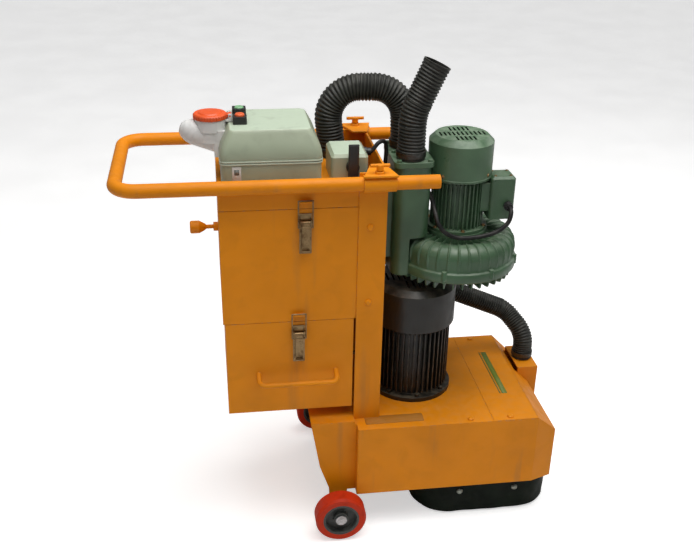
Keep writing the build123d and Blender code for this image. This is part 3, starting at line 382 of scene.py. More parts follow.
LOOKS = {
    "orange_paint": painted("orange_paint", ORANGE),
    "handle_paint": painted("handle_paint", (0.80, 0.255, 0.002), rough=0.42, dust=0.15, wear=0.35),
    "drawer_paint": painted("drawer_paint", (0.79, 0.262, 0.003), rough=0.46),
    "screw_finish": screw_finish(),
    "band_steel": bare_metal("band_steel", (0.09, 0.09, 0.085), rough=0.42, tarnish=0.3),
    "zinc": bare_metal("zinc", (0.30, 0.20, 0.10), tarnish=0.6),
    "filter_paper": pleated("filter_paper"),
    # box_grey's pale top tone is a painted highlight on the cover's top.
    "box_grey": moulded("box_grey", (0.34, 0.385, 0.275), rough=0.36, lit_top_tone=(0.50, 0.59, 0.46)),
    "black_plastic": moulded("black_plastic", (0.018, 0.018, 0.018), rough=0.36, dirt=0.1),
    "green_button": moulded("green_button", (0.22, 0.46, 0.24), rough=0.28),
    "red_button": moulded("red_button", (0.80, 0.13, 0.03), rough=0.26),
    "inlet_white": moulded("inlet_white", (0.74, 0.74, 0.73), rough=0.35, dirt=0.35),
    "inlet_red": moulded("inlet_red", (0.80, 0.10, 0.015), rough=0.34, dirt=0.2),
    "hose_black": rubber("hose_black", (0.034, 0.035, 0.030), rough=0.40, dust=0.18, grain=0.15,
                         ridge=(0.085, 0.087, 0.075)),
    "cable_black": rubber("cable_black", (0.012, 0.012, 0.012), rough=0.42, dust=0.2),
    "blower_green": cast_painted("blower_green", (0.055, 0.115, 0.058), rough=0.34),
    # The cowl is a lighter copy of the blower's green with a paler light tone: painted highlight.
    "blower_cowl_green": cast_painted("blower_cowl_green", (0.078, 0.150, 0.080), rough=0.32,
                                      light=(0.36, 0.45, 0.33)),
    # The motor's pale brown light tone and strong worn share paint reflections along its fin edges.
    "motor_black": cast_painted("motor_black", (0.010, 0.010, 0.008), rough=0.38,
                                light=(0.24, 0.20, 0.14), worn=0.75),
    "steel": bare_metal("steel", (0.52, 0.52, 0.53), tarnish=0.25),
    "cast_iron": bare_metal("cast_iron", (0.22, 0.22, 0.22), rough=0.5),
    "belt_rubber": rubber("belt_rubber", (0.018, 0.018, 0.018)),
    "segment_metal": bare_metal("segment_metal", (0.38, 0.35, 0.31), rough=0.45),
    "cowl_paint": cast_painted("cowl_paint", (0.03, 0.03, 0.03), light=(0.10, 0.10, 0.09)),
    "skirt_rubber": rubber("skirt_rubber", (0.004, 0.008, 0.004), rough=0.55, dust=0.08, shine=0.12),
    "wheel_grey": cast_painted("wheel_grey", (0.05, 0.055, 0.05), light=(0.20, 0.20, 0.18)),
    "tread_red": moulded("tread_red", (0.60, 0.035, 0.006), rough=0.45, dirt=0.5,
                         Specular_IOR_Level=0.2),
    "rim_pale": moulded("rim_pale", (0.50, 0.56, 0.44), rough=0.34, dirt=0.15),
    "label_white": moulded("label_white", (0.72, 0.72, 0.68), rough=0.5, dirt=0.5),
    "label_dark": moulded("label_dark", (0.25, 0.26, 0.24), rough=0.5),
    "label_orange": painted("label_orange", (0.46, 0.18, 0.02), rough=0.5),
    "stripe_green": moulded("stripe_green", (0.16, 0.22, 0.02), rough=0.4),
    "stripe_dark": moulded("stripe_dark", (0.09, 0.14, 0.015), rough=0.4),
}


def dress_cad_nodes():
    """Every CAD node takes the look of its slot in the record."""
    slots = {row["node"]: row["material_slot"] for row in frame["record"]["subparts"]}
    for name, node in frame["nodes"].items():
        node.data.materials.clear()
        node.data.materials.append(LOOKS[slots[name]])
        smooth_by_angle(node, CAD_SMOOTH_ANGLE)


def smooth_by_angle(piece, degrees):
    """Smooth faces, with the edges sharper than the angle kept crisp."""
    mesh = piece.data
    limit = math.radians(degrees)
    form = bmesh.new()
    form.from_mesh(mesh)
    sharp = []
    for edge in form.edges:
        sharp.append(len(edge.link_faces) != 2 or edge.calc_face_angle(0.0) > limit)
    form.free()
    mesh.edges.foreach_set("use_edge_sharp", sharp)
    mesh.polygons.foreach_set("use_smooth", [True] * len(mesh.polygons))
    mesh.update()


# Mesh building


def shown(name, mesh, look):
    """An object of the mesh, in one of the looks, that rides on the chassis."""
    made = bpy.data.objects.new(name, mesh)
    bpy.context.scene.collection.objects.link(made)
    mesh.materials.append(LOOKS[look])
    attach(made, "chassis")
    return made


def piece_from(name, vertices, faces, look, angle=35):
    """An object of closed faces, turned outward, with edges above the angle kept crisp."""
    mesh = bpy.data.meshes.new(name)
    mesh.from_pydata([tuple(v) for v in vertices], [], faces)
    mesh.validate()
    form = bmesh.new()
    form.from_mesh(mesh)
    bmesh.ops.recalc_face_normals(form, faces=form.faces)
    form.to_mesh(mesh)
    form.free()
    made = shown(name, mesh, look)
    smooth_by_angle(made, angle)
    return made


def turns(count):
    """Angles spread evenly round a full turn."""
    return [2 * math.pi * i / count for i in range(count)]


def circle(centre, radius, count):
    """Points round a level circle."""
    return [centre + Vector((math.cos(a), math.sin(a), 0)) * radius for a in turns(count)]


def smooth_run(points, step):
    """Points a step apart along a Catmull-Rom curve through the given points."""
    points = [Vector(p) for p in points]
    ends = [2 * points[0] - points[1], *points, 2 * points[-1] - points[-2]]
    dense = []
    for a, b, c, d in zip(ends, ends[1:], ends[2:], ends[3:]):
        for i in range(40):
            t = i / 40
            dense.append(0.5 * (2 * b + (c - a) * t + (2 * a - 5 * b + 4 * c - d) * t**2
                                + (3 * b - a - 3 * c + d) * t**3))
    dense.append(points[-1])
    lengths = [0.0]
    for a, b in zip(dense, dense[1:]):
        lengths.append(lengths[-1] + (b - a).length)
    count = max(2, round(lengths[-1] / step))
    run, at = [], 0
    for i in range(count + 1):
        target = lengths[-1] * i / count
        while at < len(dense) - 2 and lengths[at + 1] < target:
            at += 1
        share = (target - lengths[at]) / max(1e-9, lengths[at + 1] - lengths[at])
        run.append(dense[at].lerp(dense[at + 1], min(1.0, max(0.0, share))))
    return run


def frames_along(run):
    """A pair of cross directions at each point, carried along without twist."""
    pairs = []
    across = None
    for i in range(len(run)):
        ahead = run[min(i + 1, len(run) - 1)] - run[max(i - 1, 0)]
        ahead.normalize()
        if across is None:
            across = ahead.orthogonal().normalized()
        across = (across - ahead * across.dot(ahead)).normalized()
        pairs.append((across, ahead.cross(across)))
    return pairs


def ring_rows(run, sides, radius_at):
    """A ring of points round each point of the run, its radius from (index, angle)."""
    rows = []
    for i, (point, (u, v)) in enumerate(zip(run, frames_along(run))):
        row = []
        for angle in turns(sides):
            out = u * math.cos(angle) + v * math.sin(angle)
            row.append(point + out * radius_at(i, angle))
        rows.append(row)
    return rows


def skin(rows, closed_rows):
    """Vertices and quads over rows of points; closed_rows joins the last row to the first."""
    vertices = [point for row in rows for point in row]
    sides = len(rows[0])
    faces = []
    count = len(rows) if closed_rows else len(rows) - 1
    for r in range(count):
        below, above = r * sides, ((r + 1) % len(rows)) * sides
        for side in range(sides):
            after = (side + 1) % sides
            faces.append((below + side, below + after, above + after, above + side))
    return vertices, faces


def end_caps(vertices, sides):
    """Faces over the first and the last row."""
    first = tuple(range(sides))[::-1]
    last = tuple(range(len(vertices) - sides, len(vertices)))
    return [first, last]


def capped(rows):
    """Vertices and faces of rows closed by flat ends."""
    vertices, faces = skin(rows, False)
    return vertices, faces + end_caps(vertices, len(rows[0]))


def add_solid(vertices, faces, rows):
    """Adds rows of points as one more closed form with flat ends."""
    offset = len(vertices)
    more, more_faces = capped(rows)
    vertices.extend(more)
    faces.extend(tuple(offset + i for i in face) for face in more_faces)


def ribbed_hose(name, node, points, form):
    """Hose with a helical rib outside and a smooth bore, closed over both cut ends."""
    radius, bore, pitch, depth = (size * MM for size in form)
    run = smooth_run(points, pitch / ROWS_PER_RIB)
    cuff = CUFF_RIBS * ROWS_PER_RIB

    def outside(i, angle):
        wave = 0.5 + 0.5 * math.cos(2 * math.pi * i / ROWS_PER_RIB + angle)
        fade = min(1.0, i / cuff, (len(run) - 1 - i) / cuff)
        return radius - depth * fade * (1 - wave)

    outer = ring_rows(run, HOSE_SIDES, outside)
    inner = ring_rows(run, HOSE_SIDES, lambda i, angle: bore)
    vertices, faces = skin(outer + inner[::-1], True)
    hose = piece_from(name, vertices, faces, "hose_black", angle=60)
    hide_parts(node)


def cable(name, points, radius):
    """Round cable on a smooth curve through points in millimetres."""
    run = smooth_run([Vector(point) * MM for point in points], radius * MM)
    rows = ring_rows(run, CABLE_SIDES, lambda i, angle: radius * MM)
    return piece_from(name, *capped(rows), "cable_black", angle=60)


def bent_line(corners, radius, step=4 * MM):
    """Points along a line through the corners, each corner rounded to a radius."""
    corners = [Vector(corner) * MM for corner in corners]
    radius *= MM
    points = [corners[0]]
    for before, corner, after in zip(corners, corners[1:], corners[2:]):
        to_before, to_after = (before - corner).normalized(), (after - corner).normalized()
        half = to_before.angle(to_after) / 2
        reach = radius / math.tan(half)
        middle = corner + (to_before + to_after).normalized() * (radius / math.sin(half))
        first, last = corner + to_before * reach - middle, corner + to_after * reach - middle
        sweep = first.angle(last)
        count = max(2, math.ceil(sweep * radius / step))
        for i in range(count + 1):
            turn = sweep * i / count
            arm = first * math.sin(sweep - turn) + last * math.sin(turn)
            points.append(middle + arm / math.sin(sweep))
    points.append(corners[-1])
    return points


def rounded_loop(low, high, radius, per_corner=14, per_side=12):
    """Points round a rounded rectangle, with each point's outward direction."""
    corners = [
        (high.x - radius, high.y - radius, 0),
        (low.x + radius, high.y - radius, 90),
        (low.x + radius, low.y + radius, 180),
        (high.x - radius, low.y + radius, 270),
    ]
    loop = []
    for cx, cy, first in corners:
        for i in range(per_corner + 1):
            angle = math.radians(first + 90 * i / per_corner)
            out = Vector((math.cos(angle), math.sin(angle), 0))
            loop.append((Vector((cx, cy, 0)) + out * radius, out))
    filled = []
    for (a, out_a), (b, out_b) in zip(loop, loop[1:] + loop[:1]):
        filled.append((a, out_a))
        if (b - a).length > radius * 0.5:
            for i in range(1, per_side):
                filled.append((a.lerp(b, i / per_side), out_a.lerp(out_b, i / per_side).normalized()))
    return filled


# Hoses, cables and skirt


def build_hoses():
    """Lid to blower, blower to the open air, and pick-up to cabinet."""
    arch = [
        (*LID_PORT, LID_TOP_Z + 1),
        (*LID_PORT, LID_TOP_Z + 36),
        (-54, 59, ARCH_Z),
        (136, 46, ARCH_Z),
        (BLOWER_PORT_X, BLOWER_PORT_Y, PORT_FACE_Z + 37),
        (BLOWER_PORT_X, BLOWER_PORT_Y, PORT_FACE_Z),
    ]
    line = bent_line(arch, ARCH_BEND)
    ribbed_hose("filter_outlet_ribbed_hose", "filter_outlet_hose", line, WIDE_HOSE)
    to_corner = EXHAUST_BEND * math.tan(EXHAUST_LEAN / 2)
    corner_z = EXHAUST_BEND_Z + to_corner
    reach = EXHAUST_STRAIGHT + to_corner
    end_x = BLOWER_PORT_X + reach * math.sin(EXHAUST_LEAN)
    end_z = corner_z + reach * math.cos(EXHAUST_LEAN)
    exhaust = [
        (BLOWER_PORT_X, -BLOWER_PORT_Y, PORT_FACE_Z),
        (BLOWER_PORT_X, -BLOWER_PORT_Y, corner_z),
        (end_x, -BLOWER_PORT_Y, end_z),
    ]
    line = bent_line(exhaust, EXHAUST_BEND)
    ribbed_hose("exhaust_ribbed_hose", "exhaust_hose", line, WIDE_HOSE)
    suction = [
        (70, *CABINET_INLET),
        (128, *CABINET_INLET),
        (300, 158, 500),
        (480, 150, 425),
        (*PICK_UP, PICK_UP_TOP_Z + 76),
        (*PICK_UP, PICK_UP_TOP_Z + 2),
    ]
    line = bent_line(suction, SUCTION_BEND)
    ribbed_hose("suction_ribbed_hose", "suction_hose", line, THIN_HOSE)


def build_cables():
    """Blower's cable, looped from its terminal box round to the post, and the motor's."""
    blower = [
        (386, -61, 829), (386, -76, 829), (386, -92, 822), (376, -100, 797), (345, -103, 776),
        (300, -105, 767), (255, -107, 768), (222, -105, 782), (205, -97, 804), (200, -78, 826),
        (199.5, -40, 845), (199.5, 20, 850), (199.5, 70, 850), (190, 92, 848), (160, 97, 844),
        (110, 98, 840), (67, 98, 840),
    ]
    motor = [
        (27, -45, 972), (45, -45, 972), (63, -39, 990), (79, -29, 990), (86, -20, 968), (86, -8, 900),
        (86, -5, 800), (86, 0, 700), (84, 40, 655), (84, 78, 626), (85, 112, 560), (86, 122, 500),
        (86, 122, 430), (92, 122, 404), (110, 122, 395), (138, 122, 395),
    ]
    first = cable("blower_cable", blower, BLOWER_CABLE_R)
    cable("motor_cable", motor, MOTOR_CABLE_R)
    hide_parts("power_cables")


def build_skirt():
    """Rubber skirt: clamped at the top, bulging a little and rippled at its free hem."""
    low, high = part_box("dust_skirt")
    loop = rounded_loop(low, high, SKIRT_CORNER * MM, per_corner=22, per_side=26)
    height = high.z - low.z
    shares = [0.0, 0.015, 0.05, 0.12, 0.22, 0.34, 0.46, 0.58, 0.70, 0.80, 0.88, 0.94, 0.975, 1.0]

    def row(share, inside):
        free = 1 - share
        bulge = SKIRT_BULGE * math.sin(math.pi * min(1, free * 1.1))
        rim = SKIRT_LIP if share in (0.0, 1.0) else 0.0
        points = []
        for i, (point, out) in enumerate(loop):
            turn = 2 * math.pi * i / len(loop)
            ripple = 0.81 * math.sin(9 * turn) + 0.45 * math.sin(23 * turn + 1.3)
            offset = bulge + ripple * free**2 - SKIRT_INSET
            offset += rim - SKIRT_WALL if inside else -rim
            points.append(point + out * offset * MM + Vector((0, 0, low.z + height * share)))
        return points

    rows = [row(share, False) for share in shares] + [row(share, True) for share in shares[::-1]]
    skirt = piece_from("rubber_skirt", *skin(rows, True), "skirt_rubber", angle=50)
    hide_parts("dust_skirt")


# Plates and screws


def rounded_panel(name, centre, across, along, size, thickness, corner, look):
    """Thin plate with round corners and an eased front edge, facing across x along."""
    across, along = Vector(across), Vector(along)
    out = across.cross(along)
    low = Vector((-size[0] / 2, -size[1] / 2, 0)) * MM
    loop = rounded_loop(low, -low, corner * MM, per_corner=6, per_side=2)
    ease = min(thickness, corner) * 0.4
    levels = [
        (0, 0), (0, thickness - ease), (ease * 0.4, thickness - ease * 0.3), (ease, thickness),
    ]
    rows = []
    for inset, level in levels:
        row = []
        for point, way in loop:
            place = point - way * inset * MM
            row.append(centre + across * place.x + along * place.y + out * level * MM)
        rows.append(row)
    return piece_from(name, *capped(rows), look)


def lathe(name, centre, axis, profile, look, sides=28):
    """A profile of (radius, height) in millimetres, turned about an axis."""
    axis = Vector(axis).normalized()
    u = axis.orthogonal().normalized()
    v = axis.cross(u)
    rows = []
    for radius, height in profile:
        middle = centre + axis * height * MM
        reach = max(radius, 0.01) * MM
        rows.append([middle + (u * math.cos(a) + v * math.sin(a)) * reach for a in turns(sides)])
    return piece_from(name, *capped(rows), look, angle=40)


def join(name, pieces, look):
    """Several pieces of one look as one mesh."""
    form = bmesh.new()
    for piece in pieces:
        form.from_mesh(piece.data)
    mesh = bpy.data.meshes.new(name)
    form.to_mesh(mesh)
    form.free()
    made = shown(name, mesh, look)
    for piece in pieces:
        bpy.data.objects.remove(piece)
    return made


def screws(name, places, radius, height):
    """Hexagon screws with washers, at places as (centre, axis)."""
    washer = [
        (radius * 1.5, 0), (radius * 1.5, height * 0.22), (radius * 1.4, height * 0.3),
        (0, height * 0.3),
    ]
    head = [
        (radius, height * 0.3), (radius, height * 0.9), (radius * 0.86, height * 1.1),
        (0, height * 1.1),
    ]
    made = []
    for number, (centre, axis) in enumerate(places):
        made.append(lathe(f"{name}_w{number}", centre, axis, washer, "zinc"))
        made.append(lathe(f"{name}_h{number}", centre, axis, head, "zinc", sides=6))
    return join(name, made, "zinc")


def drilled(piece, holes, radius, low_z, high_z):
    """The piece with round upright holes through it."""
    cutters = []
    for x, y in holes:
        rows = [circle(Vector((x, y, z)), radius, HOLE_SIDES) for z in (low_z, high_z)]
        cutter = piece_from("cutter", *capped(rows), "black_plastic")
        change = piece.modifiers.new("hole", "BOOLEAN")
        change.object = cutter
        change.operation = "DIFFERENCE"
        change.solver = "EXACT"
        cutters.append(cutter)
    bpy.context.view_layer.update()
    seen = piece.evaluated_get(bpy.context.evaluated_depsgraph_get())
    mesh = bpy.data.meshes.new_from_object(seen)
    piece.modifiers.clear()
    piece.data = mesh
    for cutter in cutters:
        bpy.data.objects.remove(cutter)
    return piece


# Blower


def casing_profile():
    """(radius, height) of the casing's skin and of its ribs' crests, from the middle of the base
    over the rim and the channel to the bore, and back through the chamber."""
    skin_line = [
        (0.01, BLOWER_BASE_Z), (60, BLOWER_BASE_Z), (150, BLOWER_BASE_Z), (154.5, 665),
        (RIM_R, 667), (RIM_R, 687), (154.5, 689.5), (150.5, 691), (149.3, 694), (149, 700), (149, 709),
    ]
    for turn in range(0, 166, 11):
        a = math.radians(turn)
        radius = CHANNEL_R + CHANNEL_TUBE_R * math.cos(a)
        skin_line.append((radius, CHANNEL_Z + CHANNEL_TUBE_R * math.sin(a)))
    skin_line += [
        (80, 727), (78.5, 731), (SEAT_R, 737), (SEAT_R, 745), (SEAT_R, 752), (SEAT_R, 757),
        (77, 759.6), (75, BLOWER_SEAT_Z),
    ]
    crest = []
    for radius, z in skin_line:
        on_channel = radius >= CHANNEL_R and z > RIB_FOOT_Z
        if on_channel:
            out = Vector((radius - CHANNEL_R, z - CHANNEL_Z)) if z > CHANNEL_Z else Vector((1, 0))
            lift = out.normalized() * RIB_HEIGHT * min(1.0, (z - RIB_FOOT_Z) / 14)
            crest.append((radius + lift.x, z + lift.y))
        elif radius > 77 and 720 < z < 752:
            crest.append((radius, 753.5 if radius > 90 else 751.9))
        else:
            crest.append((radius, z))
    chamber = [
        (13, BLOWER_SEAT_Z), (13, 703), (88, 703), (95, 714), (114, 723), (132, 716), (140, 702),
        (140, 681), (0.01, 681),
    ]
    return skin_line + chamber, crest + chamber


def casing_skin(axis):
    """Rows round the casing, lifted from the skin to the crests over each narrow rib."""
    pitch = 360 / CASING_RIBS
    half = COLUMNS_PER_RIB / 2
    rows = []
    for (radius, z), (crest_radius, crest_z) in zip(*casing_profile()):
        row = []
        for i, a in enumerate(turns(CASING_RIBS * COLUMNS_PER_RIB)):
            off_rib = abs((i + half) % COLUMNS_PER_RIB - half) / COLUMNS_PER_RIB * pitch
            share = 1 - min(1.0, max(0.0, (off_rib - RIB_FLAT_DEG) / RIB_SLOPE_DEG))
            share = share * share * (3 - 2 * share)
            reach = radius + (crest_radius - radius) * share
            level = z + (crest_z - z) * share
            row.append(axis + Vector((math.cos(a) * reach, math.sin(a) * reach, level)) * MM)
        rows.append(row)
    return rows


def casing_fin(axis, degrees):
    """One of the radial cooling fins below the casing."""
    turn = Matrix.Rotation(math.radians(degrees), 3, "Z")
    rows = []
    for half, outer, z in ((1.2, 140, 644), (1.7, 146, 646), (2.4, 149, BLOWER_BASE_Z + 1)):
        corners = [(60, -half), (outer, -half), (outer, half), (60, half)]
        rows.append([axis + turn @ Vector((x, y, z)) * MM for x, y in corners])
    return rows


def casing_lug(axis, degrees):
    """Stub of a bolt lug on the rim, with an eased top."""
    a = math.radians(degrees)
    middle = axis + Vector((math.cos(a), math.sin(a), 0)) * 153 * MM
    rows = []
    for radius, z in ((6.5, 672), (6.5, 695), (5.5, 696)):
        rows.append(circle(middle + Vector((0, 0, z * MM)), radius * MM, 20))
    return rows


def build_blower_casing():
    """Ring channel with narrow ribs, a rim with lugs, and cooling fins below."""
    axis = Vector((BLOWER_X * MM, 0, 0))
    vertices, faces = [], []
    add_solid(vertices, faces, casing_skin(axis))
    for i in range(CASING_FINS):
        add_solid(vertices, faces, casing_fin(axis, (i + 0.5) * 360 / CASING_FINS))
    for i in range(CASING_LUGS):
        add_solid(vertices, faces, casing_lug(axis, (i + 0.5) * 360 / CASING_LUGS))
    casing = piece_from("blower_ring_casing", vertices, faces, "blower_green", angle=48)
    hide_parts("blower_casing")


def column_rows():
    """The silencer's body, its lower half cut back round the casing's rim."""
    low, high = Vector((100, -80, 0)) * MM, Vector((190, 80, 0)) * MM
    loop = rounded_loop(low, high, 27 * MM, per_corner=16, per_side=10)
    shrinks = {660: 2.0, 661.5: 0.6, 940: -2.2}
    clear_of_rim = 156.4 * MM
    rows = []
    for z in (660, 661.5, 664, 700, 740, 757, 758, 760.2, 761, 800, 850, 900, 928, 936, 940):
        row = []
        for point, out in loop:
            place = point - out * shrinks.get(z, 0.0) * MM
            if z < BLOWER_SEAT_Z:
                wall = BLOWER_X * MM - math.sqrt(max(0.0, clear_of_rim**2 - place.y**2))
                place.x = min(place.x, wall)
            row.append(place + Vector((0, 0, z * MM)))
        rows.append(row)
    return rows


def bar_rows(x, y, z):
    """Upright bar with rounded corners and eased ends, from its spans in millimetres."""
    near, far = Vector((x[0], y[0], 0)) * MM, Vector((x[1], y[1], 0)) * MM
    loop = rounded_loop(near, far, 2.4 * MM, per_corner=5, per_side=2)
    rows = []
    for inset, level in ((1, z[0]), (0, z[0] + 1), (0, z[1] - 1), (1, z[1])):
        rows.append([point - out * inset * MM + Vector((0, 0, level * MM)) for point, out in loop])
    return rows


def build_blower_column():
    """Cast silencer column, with the plate and the two ribs that carry it on the post."""
    vertices, faces = [], []
    add_solid(vertices, faces, column_rows())
    add_solid(vertices, faces, bar_rows((66.2, 72), (-75, 75), (690, 900)))
    for y in ((-52, -42), (42, 52)):
        add_solid(vertices, faces, bar_rows((70, 106), y, (700, 890)))
    column = piece_from("blower_cast_column", vertices, faces, "blower_green", angle=42)
    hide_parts("blower_silencer")


def build_blower_details():
    """Bead and screws of the fan cowl, and the screws of the terminal box and the flange."""
    low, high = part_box("blower_fan_cowl")
    axis = Vector(((low.x + high.x) / 2, (low.y + high.y) / 2, 0))
    radius = (high.x - low.x) / 2
    bead = []
    for inset, z in ((0.4, 2.0), (-1.0, 3.2), (-1.0, 6.0), (0.4, 7.2)):
        level = Vector((0, 0, low.z + z * MM))
        bead.append(circle(axis + level, radius - inset * MM, 64))
    piece_from("blower_cowl_bead", *skin(bead, True), "blower_cowl_green")
    places = []
    for degrees in (45, 135, 225, 315):
        out = Vector((math.cos(math.radians(degrees)), math.sin(math.radians(degrees)), 0))
        level = Vector((0, 0, low.z + 14 * MM))
        places.append((axis + out * (radius - 0.3 * MM) + level, out))
    screws("blower_cowl_screws", places, 3, 2.4)
    lid_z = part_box("blower_terminal_box")[1].z
    corners = [(353, -48), (353, -12), (391, -48), (391, -12)]
    places = [(Vector((x * MM, y * MM, lid_z)), UP) for x, y in corners]
    screws("terminal_box_screws", places, 2.8, 2)
    flange_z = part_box("blower_casing")[1].z + 8 * MM
    ring = circle(axis, FLANGE_SCREW_R * MM, 12)[1::2]
    places = [(place + Vector((0, 0, flange_z)), UP) for place in ring]
    screws("blower_flange_screws", places, 4, 4)


# Starter box


def build_control_cover():
    """Cover with upright sides, rounded shoulders, a flat top and two button holes."""
    low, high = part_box("control_box_cover")
    outside = [
        (0.6, 0), (0, 0.8), (0, 12), (1.2, 21), (4, 31), (8.5, 41), (13.5, 50.5), (18, 58.5),
        (21, 63.8), (23, 66.6), (24.8, 67.8), (26.3, 68), (30, 68),
    ]
    inside = [(inset + COVER_WALL, max(0.0, z - COVER_TOP)) for inset, z in outside[::-1]]
    rows = []
    for inset, z in outside + inside:
        in_by = Vector((inset, inset, 0)) * MM
        corner = (COVER_CORNER - inset * 0.12) * MM
        loop = rounded_loop(low + in_by, high - in_by, corner, per_corner=14, per_side=10)
        rows.append([point + Vector((0, 0, low.z + z * MM)) for point, _ in loop])
    vertices, faces = skin(rows, True)
    sides = len(rows[0])
    crown = (len(outside) - 1) * sides
    ceiling = crown + sides
    faces = [face for face in faces if min(face) < crown or max(face) >= ceiling + sides]
    faces.append(tuple(range(crown, ceiling)))
    faces.append(tuple(range(ceiling, ceiling + sides))[::-1])
    cover = piece_from("control_box_moulded_cover", vertices, faces, "box_grey", angle=50)
    holes = []
    for button in ("start_button", "stop_button"):
        near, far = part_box(button)
        holes.append(((near.x + far.x) / 2, (near.y + far.y) / 2))
    cover = drilled(cover, holes, BUTTON_HOLE_R * MM, high.z - 12 * MM, high.z + 5 * MM)
    smooth_by_angle(cover, 50)
    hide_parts("control_box_cover")


def build_control_box_details():
    """Two pale beads round the seam, and a blank label with a dark patch on the base."""
    low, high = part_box("control_box_cover")
    margin = Vector((1.2, 1.2, 0)) * MM
    loop = rounded_loop(low - margin, high + margin, 17 * MM)
    beads = []
    for number, level in enumerate((-4.5, 1.0)):
        rows = []
        for inset, z in ((3.0, 0), (0.4, 0), (0, 0.6), (0, 2.6), (0.4, 3.4), (3.0, 3.4)):
            lift = Vector((0, 0, low.z + (level + z) * MM))
            rows.append([point - out * inset * MM + lift for point, out in loop])
        beads.append(piece_from(f"rim_{number}", *skin(rows, True), "rim_pale"))
    join("control_box_rim_beads", beads, "rim_pale")
    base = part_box("control_box_base")[0]
    centre = Vector((base.x + 34 * MM, base.y - 0.1 * MM, LABEL_Z * MM))
    across = Vector((1, 0, 0))
    rounded_panel("control_box_label", centre, across, UP, (20, 34), 0.5, 1.5, "label_white")
    centre += Vector((0, -0.5, 4)) * MM
    rounded_panel("control_box_label_patch", centre, across, UP, (11, 13), 0.2, 1, "label_dark")


# Handle clamps and deck


def clamp_sleeve(start):
    """Round sleeve on the handle's arm, running forward from its rear face's centre."""
    rows = []
    for radius, x in (
        (TUBE_HOLE_R, 0), (18.6, 0), (19.4, 0.8), (19.4, CLAMP_LENGTH - 0.8),
        (18.6, CLAMP_LENGTH), (TUBE_HOLE_R, CLAMP_LENGTH),
    ):
        row = []
        for a in turns(64):
            row.append(start + Vector((x, math.cos(a) * radius, math.sin(a) * radius)) * MM)
        rows.append(row)
    return piece_from("sleeve", *skin(rows, True), "orange_paint")


def clamp_plate(side):
    """Trapezoid plate from the post's head out to the sleeve."""
    middle = Vector((45, 168, 0))
    rows = []
    for inset, z in ((0.8, 0), (0, 0.8), (0, 4.2), (0.8, 5)):
        row = []
        for x, y in ((3, 201), (82, 201), (66, 128), (28, 128)):
            corner = Vector((x, y, 0))
            corner -= (corner - middle).normalized() * inset
            row.append(Vector((corner.x, corner.y * side, CLAMP_PLATE_Z + z)) * MM)
        rows.append(row)
    return piece_from("plate", *capped(rows), "orange_paint")


def clamp_boss(side):
    """Threaded boss that the clamp screw runs in."""
    top = CLAMP_PLATE_Z + 10
    rows = []
    for radius, z in (
        (CLAMP_SCREW_HOLE_R, top - 5.5), (11, top - 5.5), (11, top - 0.8), (10.2, top),
        (CLAMP_SCREW_HOLE_R, top),
    ):
        rows.append(circle(Vector((CLAMP_SCREW_X, side * ARM_Y, z)) * MM, radius * MM, HOLE_SIDES))
    return piece_from("boss", *skin(rows, True), "orange_paint")


def build_handle_clamps():
    """Round sleeves on the handle's arms, with their trapezoid plates and screw bosses."""
    low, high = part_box("handle_clamps")
    made = []
    for side in (-1, 1):
        start = Vector((low.x + 2 * MM, side * ARM_Y * MM, TUBE_Z * MM))
        hole = (CLAMP_SCREW_X * MM, side * ARM_Y * MM)
        for part in (clamp_sleeve(start), clamp_plate(side)):
            bottom, top = (TUBE_Z + 10) * MM, high.z + 9 * MM
            made.append(drilled(part, [hole], CLAMP_SCREW_HOLE_R * MM, bottom, top))
        made.append(clamp_boss(side))
    clamps = join("handle_round_clamps", made, "orange_paint")
    smooth_by_angle(clamps, 35)
    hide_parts("handle_clamps")


def build_deck_details():
    """Blank plate and plain stripes on the deck, and the screws of the post's foot."""
    deck_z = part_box("belt_cover")[1].z
    across, along = Vector((1, 0, 0)), Vector((0, 1, 0))
    centre = Vector((103 * MM, -176 * MM, deck_z))
    rounded_panel("deck_plate_blank", centre, across, along, (150, 34), 1, 3, "label_orange")
    for number, (x, width, look) in enumerate(((419, 15, "stripe_green"), (407, 3, "stripe_dark"))):
        centre = Vector((x * MM, 14 * MM, deck_z))
        rounded_panel(f"deck_stripe_{number}", centre, across, along, (width, 214), 0.35, 1, look)
    corners = [(20, -150), (20, 150), (52, -150), (52, 150)]
    places = [(Vector((x, y, FOOT_TOP_Z)) * MM, UP) for x, y in corners]
    screws("post_foot_screws", places, 6, 5)


# Stage


def floor_look():
    """Pale floor that a camera ray sees a little brighter than the lamps light it."""
    look = Look("floor", Roughness=0.75)
    tone = look.mix(look.fade(look.noise(3, 4), 0.3, 0.7), (0.84, 0.84, 0.84), (0.88, 0.88, 0.88))
    look.set("Base_Color", tone)
    look.set("Emission_Color", tone)
    seen = look.node("ShaderNodeLightPath").outputs["Is Camera Ray"]
    look.set("Emission_Strength", look.math("MULTIPLY", seen, 0.62))
    return look.material


def build_stage():
    """Pale floor that curves up into a backdrop all round."""
    gap = Vector((0, 0, -0.0005))
    profile = ((0.01, 0), (1.5, 0), (6, 0), (12, 0), (14, 0.4), (15, 1.5), (15.5, 6), (15.5, 14))
    rows = [circle(UP * z + gap, radius, 64) for radius, z in profile]
    vertices, faces = skin(rows, False)
    mesh = bpy.data.meshes.new("floor")
    mesh.from_pydata([tuple(v) for v in vertices], [], faces)
    for face in mesh.polygons:
        face.use_smooth = True
    mesh.materials.append(floor_look())
    floor = bpy.data.objects.new("floor", mesh)
    bpy.context.scene.collection.objects.link(floor)


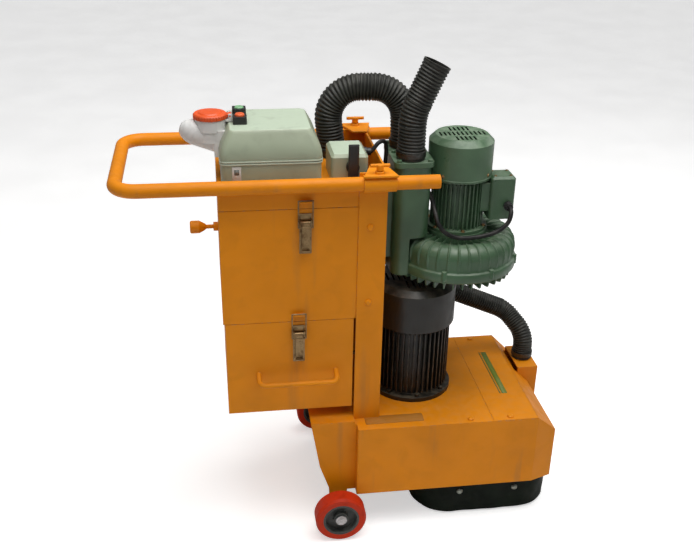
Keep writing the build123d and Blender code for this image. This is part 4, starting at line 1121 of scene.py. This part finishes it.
def area_light(name, place, size, power, color=(1, 1, 1)):
    """Soft lamp aimed at the middle of the machine."""
    data = bpy.data.lights.new(name, "AREA")
    data.size = size
    data.energy = power
    data.color = color
    light = bpy.data.objects.new(name, data)
    light.location = place
    aim = Vector((0, 0, 0.5)) - Vector(place)
    light.rotation_euler = aim.to_track_quat("-Z", "Y").to_euler()
    bpy.context.scene.collection.objects.link(light)


def build_lights():
    """White surroundings, brighter to the camera than as light, and three soft lamps."""
    world = bpy.data.worlds.new("world")
    world.use_nodes = True
    nodes, links = world.node_tree.nodes, world.node_tree.links
    ray = nodes.new("ShaderNodeLightPath")
    strength = nodes.new("ShaderNodeMapRange")
    strength.inputs["To Min"].default_value = WORLD_LIGHT
    strength.inputs["To Max"].default_value = WORLD_SEEN
    links.new(ray.outputs["Is Camera Ray"], strength.inputs["Value"])
    links.new(strength.outputs[0], nodes["Background"].inputs[1])
    nodes["Background"].inputs[0].default_value = (1.0, 1.0, 1.0, 1.0)
    bpy.context.scene.world = world
    area_light("key_overhead", (0.3, -0.4, 3.4), 2.8, 96, (1.0, 0.99, 0.97))
    area_light("fill_left", (-2.4, -2.8, 1.9), 1.8, 6)
    area_light("rim_right", (3.0, 1.4, 1.9), 2.0, 10)
    bpy.context.scene.view_settings.view_transform = "Standard"


def build_camera():
    """Camera at the picture's height and angle, on the machine's right side."""
    yaw, pitch, roll = (math.radians(angle) for angle in CAMERA_YAW_PITCH_ROLL)
    level = Vector((math.sin(yaw), math.cos(yaw), 0))
    ahead = level * math.cos(pitch) - UP * math.sin(pitch)
    right = Vector((math.cos(yaw), -math.sin(yaw), 0))
    up = right.cross(ahead)
    rolled_right = right * math.cos(roll) + up * math.sin(roll)
    rolled_up = up * math.cos(roll) - right * math.sin(roll)
    data = bpy.data.cameras.new("camera")
    data.sensor_width = 36
    data.lens = CAMERA_LENS
    camera = bpy.data.objects.new("camera", data)
    turn = Matrix((rolled_right, rolled_up, -ahead)).transposed().to_4x4()
    camera.matrix_world = Matrix.Translation(Vector(CAMERA_PLACE) * MM) @ turn
    bpy.context.scene.collection.objects.link(camera)
    bpy.context.scene.camera = camera


dress_cad_nodes()
build_hoses()
build_cables()
build_skirt()
build_blower_casing()
build_blower_column()
build_control_cover()
build_control_box_details()
build_handle_clamps()
build_deck_details()
build_blower_details()
build_stage()
build_lights()
build_camera()
